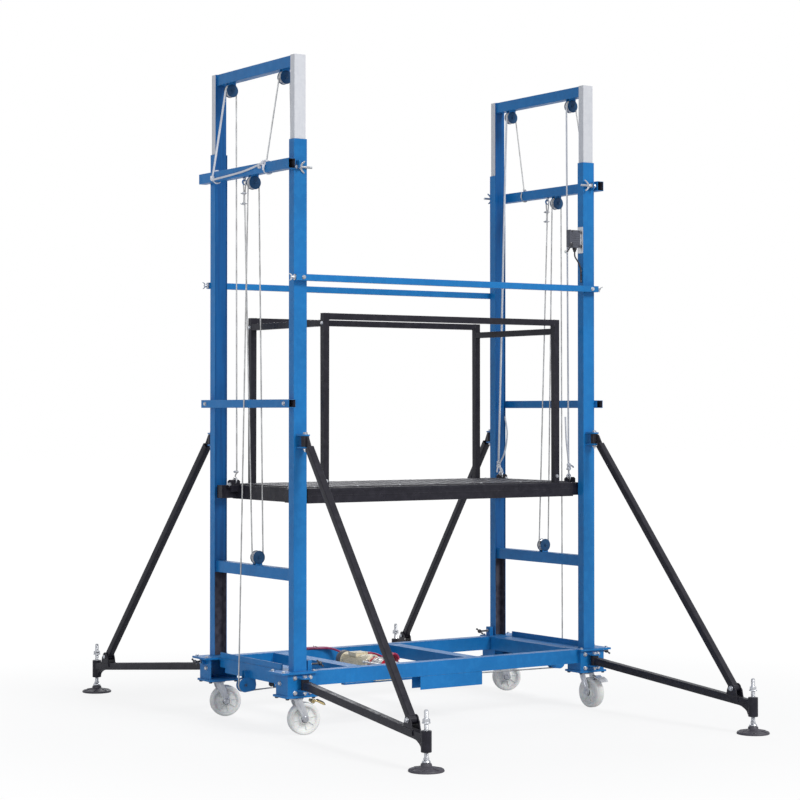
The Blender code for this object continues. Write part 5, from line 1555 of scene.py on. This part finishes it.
DRUM = [
    (-0.1840, 0.0), (-0.1840, 0.0085), (-0.1762, 0.0085), (-0.1762, 0.0318), (-0.1750, 0.0330),
    (-0.1728, 0.0330), (-0.1718, 0.0318), (-0.1714, 0.0262), (-0.0926, 0.0262),
    (-0.0922, 0.0318), (-0.0912, 0.0330), (-0.0892, 0.0330), (-0.0880, 0.0318),
    (-0.0880, 0.0085), (-0.0620, 0.0085), (-0.0620, 0.0)]


def hoist_housing(x, z):
    foot = [(x - 0.043, 0.1650), (x + 0.043, 0.1650), (x + 0.043, 0.1950),
            (x + 0.034, z + 0.004), (x - 0.034, z + 0.004), (x - 0.043, 0.1950)]
    end = [(x - 0.050, 0.1640), (x + 0.050, 0.1640), (x + 0.050, z - 0.006),
           (x + 0.046, z + 0.004)]
    end += [(x + 0.0190 * cos(radians(a)), z + 0.0190 * sin(radians(a)))
            for a in range(14, 167, 19)]
    end += [(x - 0.046, z + 0.004), (x - 0.050, z - 0.006)]
    shapes = [lathe(MOTOR, (x, 0.045, z), Y, 64), lathe(GEARBOX, (x, -0.056, z), Y, 64),
              plate(end, "y", -0.1855, -0.1800),
              block(x - 0.062, x + 0.062, -0.0448, -0.0240, 0.1613, 0.1668, 0.003),
              block(x - 0.062, x + 0.062, -0.1860, -0.1490, 0.1613, 0.1660, 0.003),
              plate(foot, "y", -0.0440, -0.0260)]
    for k in range(30):  # fins, left out under the terminal box
        if abs(12 * k - 90) > 34:
            out, tangent = xz_frame(2 * pi * k / 30)
            root = Vector((x, 0, z)) + out * 0.0335
            shapes.append(beam(root + Vector((0, -0.0250, 0)), root + Vector((0, 0.1150, 0)),
                               0.0020, 0.0046, tangent, 0.0007))
    shapes.append(lathe(END_BEARING, (x, 0, z), Y, 40, ring=True))
    piece("hoist_housing", joined(*shapes), "cream", "chassis", 0.0006, replaces="hoist_motor")


def hoist_fan_cowl(x, z):
    face = Vector((x, 0.1552, z))
    shapes = [lathe(FAN_COWL, (x, 0.142, z), Y, 64)]
    for k in range(24):
        out, tangent = xz_frame(2 * pi * k / 24)
        shapes.append(beam(face + out * 0.0110, face + out * 0.0290, 0.0030, 0.0016, tangent,
                           0.0007))
    hub = [(-0.0006, 0), (-0.0006, 0.0110), (0.0010, 0.0104), (0.0014, 0)]
    shapes.append(lathe(hub, face, Y, 32))
    piece("hoist_fan_cowl", joined(*shapes), "grey", "chassis")


def hoist_fittings(x, z):
    """The terminal box, the screws and bolts, and the cable gland."""
    box = [block(x - 0.030, x + 0.030, 0.0100, 0.0700, z + 0.0280, z + 0.0385, 0.004),
           block(x - 0.0312, x + 0.0312, 0.0088, 0.0712, z + 0.0387, z + 0.0412, 0.004),
           block(x - 0.030, x + 0.030, 0.0100, 0.0700, z + 0.0250, z + 0.0285, 0.004)]
    piece("hoist_terminal_box", joined(*box), "cream", "chassis", 0.0010)
    back = (0, -1, 0)
    screws = [bolt((x + ex * 0.026, 0.040 + ey * 0.025, z + 0.0412), Z, 0.0034, 0.0016,
                   washer=False) for ex in BOTH for ey in BOTH]
    screws += [bolt((x + 0.0345 * cos(a), -0.0757, z + 0.0345 * sin(a)), back, 0.0050, 0.0030,
                    turn=a) for a in (0.5, 1.55, 2.6, 3.65, 4.7, 5.75)]
    screws += [bolt((x + e * 0.054, y, 0.1668), Z, 0.0070, 0.0044)
               for e in BOTH for y in (-0.0340, -0.1680)]
    screws += [rod((x + e * 0.043, -0.1868, z + 0.013), (x + e * 0.040, -0.0600, z + 0.013),
                   0.0044, 20, 0.0006) for e in BOTH]
    screws += [hexagon((x + e * 0.043, -0.1855, z + 0.013), back, 0.0130, 0.0, 0.0060, 0.3)
               for e in BOTH]
    piece("hoist_fasteners", joined(*screws), "zinc", "chassis", 0.0003)
    at = (x + 0.0300, 0.0400, z + 0.0335)
    gland = [(0, 0), (0, 0.0085), (0.0070, 0.0085), (0.0080, 0.0070), (0.0150, 0.0062),
             (0.0150, 0)]
    piece("hoist_cable_gland", joined(lathe(gland, at, X, 24),
                                      hexagon(at, X, 0.0170, 0.0006, 0.0060)),
          "grey", "chassis", 0.0003)


def drum(x, z):
    piece("drum_barrel", lathe(DRUM, (x, 0, z), Y, 64), "red", "winch_drum",
          replaces="winch_drum")
    turns, radius = 11, 0.0292
    helix = []
    for i in range(turns * 30 + 1):
        a = 2 * pi * i / 30
        helix.append((x + radius * cos(a), -0.1680 + 0.0720 * i / (turns * 30),
                      z + radius * sin(a)))
    cord("drum_rope", sweep(helix, ROPE_R, laid=True), "rope", "winch_drum")
    mark = bolt((x + 0.020, -0.1762, z + 0.012), (0, -1, 0), 0.0040, 0.0022, washer=False)
    piece("drum_mark", mark, "zinc", "winch_drum", 0.0002)


for build in (hoist_housing, hoist_fan_cowl, hoist_fittings, drum):
    build(HOIST_X, HOIST_Z)


# ---- cables ------------------------------------------------------------------------------------
def along_rail(dy, dz, radius):
    """One core of the flat cable from the terminal box to and along the rear rail."""
    return sweep(curved([
        (-0.1600, 0.0400 + dy * 0.5, 0.2455), (-0.1400, 0.0440 + dy * 0.5, 0.2440),
        (-0.1240, 0.0800, 0.2300 + dz), (-0.1300, 0.1500, 0.2140 + dz),
        (-0.1500, 0.2200, 0.2220 + dz), (-0.1900, 0.2680 + dy, 0.2440 + dz),
        (-0.2500, 0.2900 + dy, 0.2478 + dz), (-0.3300, 0.2960 + dy, 0.2478 + dz),
        (-0.3650, 0.2860 + dy, 0.2400 + dz), (-0.3780, 0.2680 + dy * 0.6, 0.2180 + dz)],
        0.008), radius, 14)


def control_cable():
    lead = curved([(-0.1600, 0.0340, 0.2455), (-0.1420, 0.0200, 0.2440),
                   (-0.1330, -0.0100, 0.2380), (-0.1200, -0.0400, 0.2260),
                   (-0.1120, -0.0560, 0.2200)], 0.006)
    coil = []
    for i in range(5 * 36 + 1):
        a = 2 * pi * i / 36
        coil.append((-0.0930 + 0.0200 * cos(a) + 0.0012 * sin(3.1 * a),
                     -0.0600 + 0.0085 * i / 36 + 0.0010 * sin(2.3 * a),
                     0.2220 + 0.0250 * sin(a)))
    cord("control_cable_coil", joined(sweep(lead, 0.0042, 12), sweep(coil, 0.0044, 12)),
         "cable", "chassis")


def cable_ties():
    straps = []
    for x in (-0.3250, -0.2500):
        end_x = x - 0.0018
        straps.append(beam((end_x, 0.3105, 0.2440), (end_x, 0.3105, 0.2560), 0.0036, 0.0010, X,
                           0.0004))
        path = ellipse((x, 0.2955, 0.2484), (0, 0.0148, 0), (0, 0, 0.0058), 12)
        straps.append(sweep(path, 0.0011, 8, close=True))
    piece("cable_ties", joined(*straps), "rubber", "chassis", smooth=60.0)


cord("power_cable_band", along_rail(0.0, 0.0006, 0.0046), "band", "chassis")
cord("power_cable_sides", joined(along_rail(-0.0092, 0.0, 0.0042),
                                 along_rail(0.0092, 0.0012, 0.0042)), "magenta", "chassis")
control_cable()
cable_ties()


# ---- limit switch ------------------------------------------------------------------------------
def limit_switch():
    post_face = POST_X - 0.029 - 0.0003
    shift = Matrix.Translation((-0.0085, 0, 0.0050))
    front = (0, -1, 0)
    piece("switch_plate", joined(
        block(post_face - 0.003, post_face, -0.3285, -0.2965, 1.895, 2.005, 0.001),
        block(0.6625, 0.6732, -0.3200, -0.3020, 1.930, 1.975, 0.001)),
        "light_zinc", "chassis", 0.0006, replaces="limit_switch")

    x, z = 0.6485, 1.9485  # middle of the case
    case = [plate([(u + x, v + z) for u, v in rounded(width, height, radius, 5)], "y", low, high)
            for width, height, radius, low, high in (
                (0.048, 0.073, 0.006, -0.3245, -0.3060),
                (0.0490, 0.0740, 0.0065, -0.3056, -0.2985))]
    case.append(block(0.6170, 0.6245, -0.3250, -0.3000, 1.9140, 1.9860, 0.0015))
    case += [beam((0.6300, -0.3250, 1.9250 + 0.009 * k), (0.6670, -0.3250, 1.9250 + 0.009 * k),
                  0.0016, 0.0022, Y, 0.0006) for k in range(6)]
    piece("switch_case", placed(joined(*case), shift), "grey", "chassis", 0.0005)

    hub = [(0, 0), (0, 0.0078), (0.0050, 0.0078), (0.0064, 0.0062), (0.0072, 0)]
    tip_x, tip_z = 0.5972, 1.8932  # roller at the lever's tip
    lever = [
        lathe(hub, (0.6220, -0.3250, 1.9260), front, 32),
        beam((0.6235, -0.3318, 1.9280), (tip_x, -0.3318, tip_z), 0.0024, 0.0085, Y, 0.0010, 3),
        rod((tip_x, -0.3345, tip_z), (tip_x, -0.3195, tip_z), 0.0022, 16, 0.0004),
        hexagon((tip_x, -0.3330, tip_z), front, 0.0070, 0, 0.0016),
        hexagon((0.6220, -0.3322, 1.9260), front, 0.0080, 0, 0.0022)]
    lever += [bolt((x + ex * 0.018, -0.3245, z + ez * 0.031), front, 0.0040, 0.0018,
                   washer=False) for ex in BOTH for ez in BOTH]
    piece("switch_lever", placed(joined(*lever), shift), "dark_steel", "chassis", 0.0002)
    half = [(-0.0050, 0.0024), (-0.0050, 0.0064), (-0.0040, 0.0072)]
    piece("switch_roller", placed(roller(half, (tip_x, -0.3252, tip_z), 32), shift),
          "nylon", "chassis")

    at, down = (0.6520, -0.3120, 1.9122), (0, 0, -1)
    gland = [(0, 0), (0, 0.0088), (0.0080, 0.0088), (0.0100, 0.0070), (0.0170, 0.0060),
             (0.0170, 0)]
    piece("switch_gland", placed(joined(lathe(gland, at, down, 28),
                                        hexagon(at, down, 0.0180, 0.0010, 0.0070)), shift),
          "rubber", "chassis", 0.0003)
    lead = curved([(0.6435, -0.3120, 1.9010), (0.6450, -0.3125, 1.8800),
                   (0.6600, -0.3160, 1.8560), (0.6700, -0.3180, 1.8300),
                   (0.6722, -0.3180, 1.8000), (0.6724, -0.3180, 1.7720)], 0.006)
    cord("switch_wire", sweep(lead, 0.0032, 12), "rubber", "chassis")
    clips = [block(0.6690, 0.6756, -0.3220, -0.3140, low, low + 0.0060, 0.0015)
             for low in (1.8180, 1.7760)]
    piece("switch_wire_clips", joined(*clips), "grey", "chassis", 0.0004)


limit_switch()

# ---- studio ------------------------------------------------------------------------------------
scene = bpy.context.scene


def pale_floor():
    """A matt floor that the camera sees fade to plain white with distance."""
    tree = Tree("pale_floor")
    tint = tree.mix(tree.patches(low=0.3, high=0.7, scale=0.7, detail=2.0),
                    (0.74, 0.74, 0.745), (0.70, 0.70, 0.705))
    tree.set(color=tint, rough=0.8, specular=0.1)
    paper = tree.node("ShaderNodeEmission")
    paper.inputs["Color"].default_value = (1.0, 1.0, 1.0, 1.0)
    paper.inputs["Strength"].default_value = 1.03
    blend = tree.node("ShaderNodeMixShader")
    x, y, _ = tree.separate(tree.coord)
    far = tree.math("SQRT", tree.add(tree.times(x, x), tree.times(y, y)))
    seen = tree.node("ShaderNodeLightPath").outputs["Is Camera Ray"]
    fade = tree.ramp(far, low=1.2, high=3.6, to=(0.80, 1.0))
    tree.link(tree.times(seen, fade), blend.inputs[0])
    tree.link(tree.bsdf.outputs[0], blend.inputs[1])
    tree.link(paper.outputs[0], blend.inputs[2])
    tree.link(blend.outputs[0], tree.out.inputs[0])
    return tree.material


def build_floor(half=40):
    mesh = bpy.data.meshes.new("floor")
    corners = [(-half, -half, 0), (half, -half, 0), (half, half, 0), (-half, half, 0)]
    mesh.from_pydata(corners, [], [(0, 1, 2, 3)])
    floor = bpy.data.objects.new("floor", mesh)
    scene.collection.objects.link(floor)
    mesh.materials.append(pale_floor())


def build_world():
    """White to the camera, dimmer to reflections than to diffuse light."""
    world = bpy.data.worlds.new("studio")
    scene.world = world
    world.use_nodes = True
    nodes, links = world.node_tree.nodes, world.node_tree.links
    nodes.clear()
    out = nodes.new("ShaderNodeOutputWorld")

    def sky(tint, strength):
        made = nodes.new("ShaderNodeBackground")
        made.inputs[0].default_value = (*tint, 1.0)
        made.inputs[1].default_value = strength
        return made

    def choose(factor, when_one, when_zero):
        made = nodes.new("ShaderNodeMixShader")
        links.new(factor, made.inputs[0])
        links.new(when_zero.outputs[0], made.inputs[1])
        links.new(when_one.outputs[0], made.inputs[2])
        return made

    path = nodes.new("ShaderNodeLightPath")
    lit = choose(path.outputs["Is Glossy Ray"],
                 when_zero=sky(tint=(0.90, 0.94, 1.0), strength=0.44),
                 when_one=sky(tint=(0.94, 0.96, 1.0), strength=0.80))
    seen = choose(path.outputs["Is Camera Ray"], when_zero=lit,
                  when_one=sky(tint=(1.0, 1.0, 1.0), strength=1.0))
    links.new(seen.outputs[0], out.inputs[0])


def light(name, kind, aim, place=(0, 0, 0), **values):
    data = bpy.data.lights.new(name, kind)
    for key, value in values.items():
        setattr(data, key, value)
    made = bpy.data.objects.new(name, data)
    made.location = place
    made.rotation_euler = aim.to_track_quat("-Z", "Y").to_euler()
    scene.collection.objects.link(made)


def area(name, place, target, power, tint=(1, 1, 1)):
    light(name, "AREA", aim=Vector(target) - Vector(place), place=place, shape="SQUARE",
          size=3.0, energy=power, color=tint)


build_floor()
build_world()
light("key", "SUN", aim=Vector((-0.20, 1.0, -0.85)), energy=2.1, angle=radians(22),
      color=(1.0, 0.985, 0.965))
area("fill", place=(-6.0, -3.6, 2.6), target=(0, 0, 1.1), power=70.0, tint=(0.95, 0.97, 1.0))
area("rim", place=(2.5, 5.5, 4.5), target=(0, 0, 1.2), power=90.0)

camera = bpy.data.objects.new("camera", bpy.data.cameras.new("camera"))
scene.collection.objects.link(camera)
camera.location = (-4.915, -7.269, 1.237)
camera.rotation_euler = (radians(90.87), 0.0, radians(-34.0))
camera.data.lens = 95.7
camera.data.sensor_width = 36.0
camera.data.shift_x = -0.0035
camera.data.shift_y = -0.0271
scene.camera = camera
scene.view_settings.view_transform = "Standard"
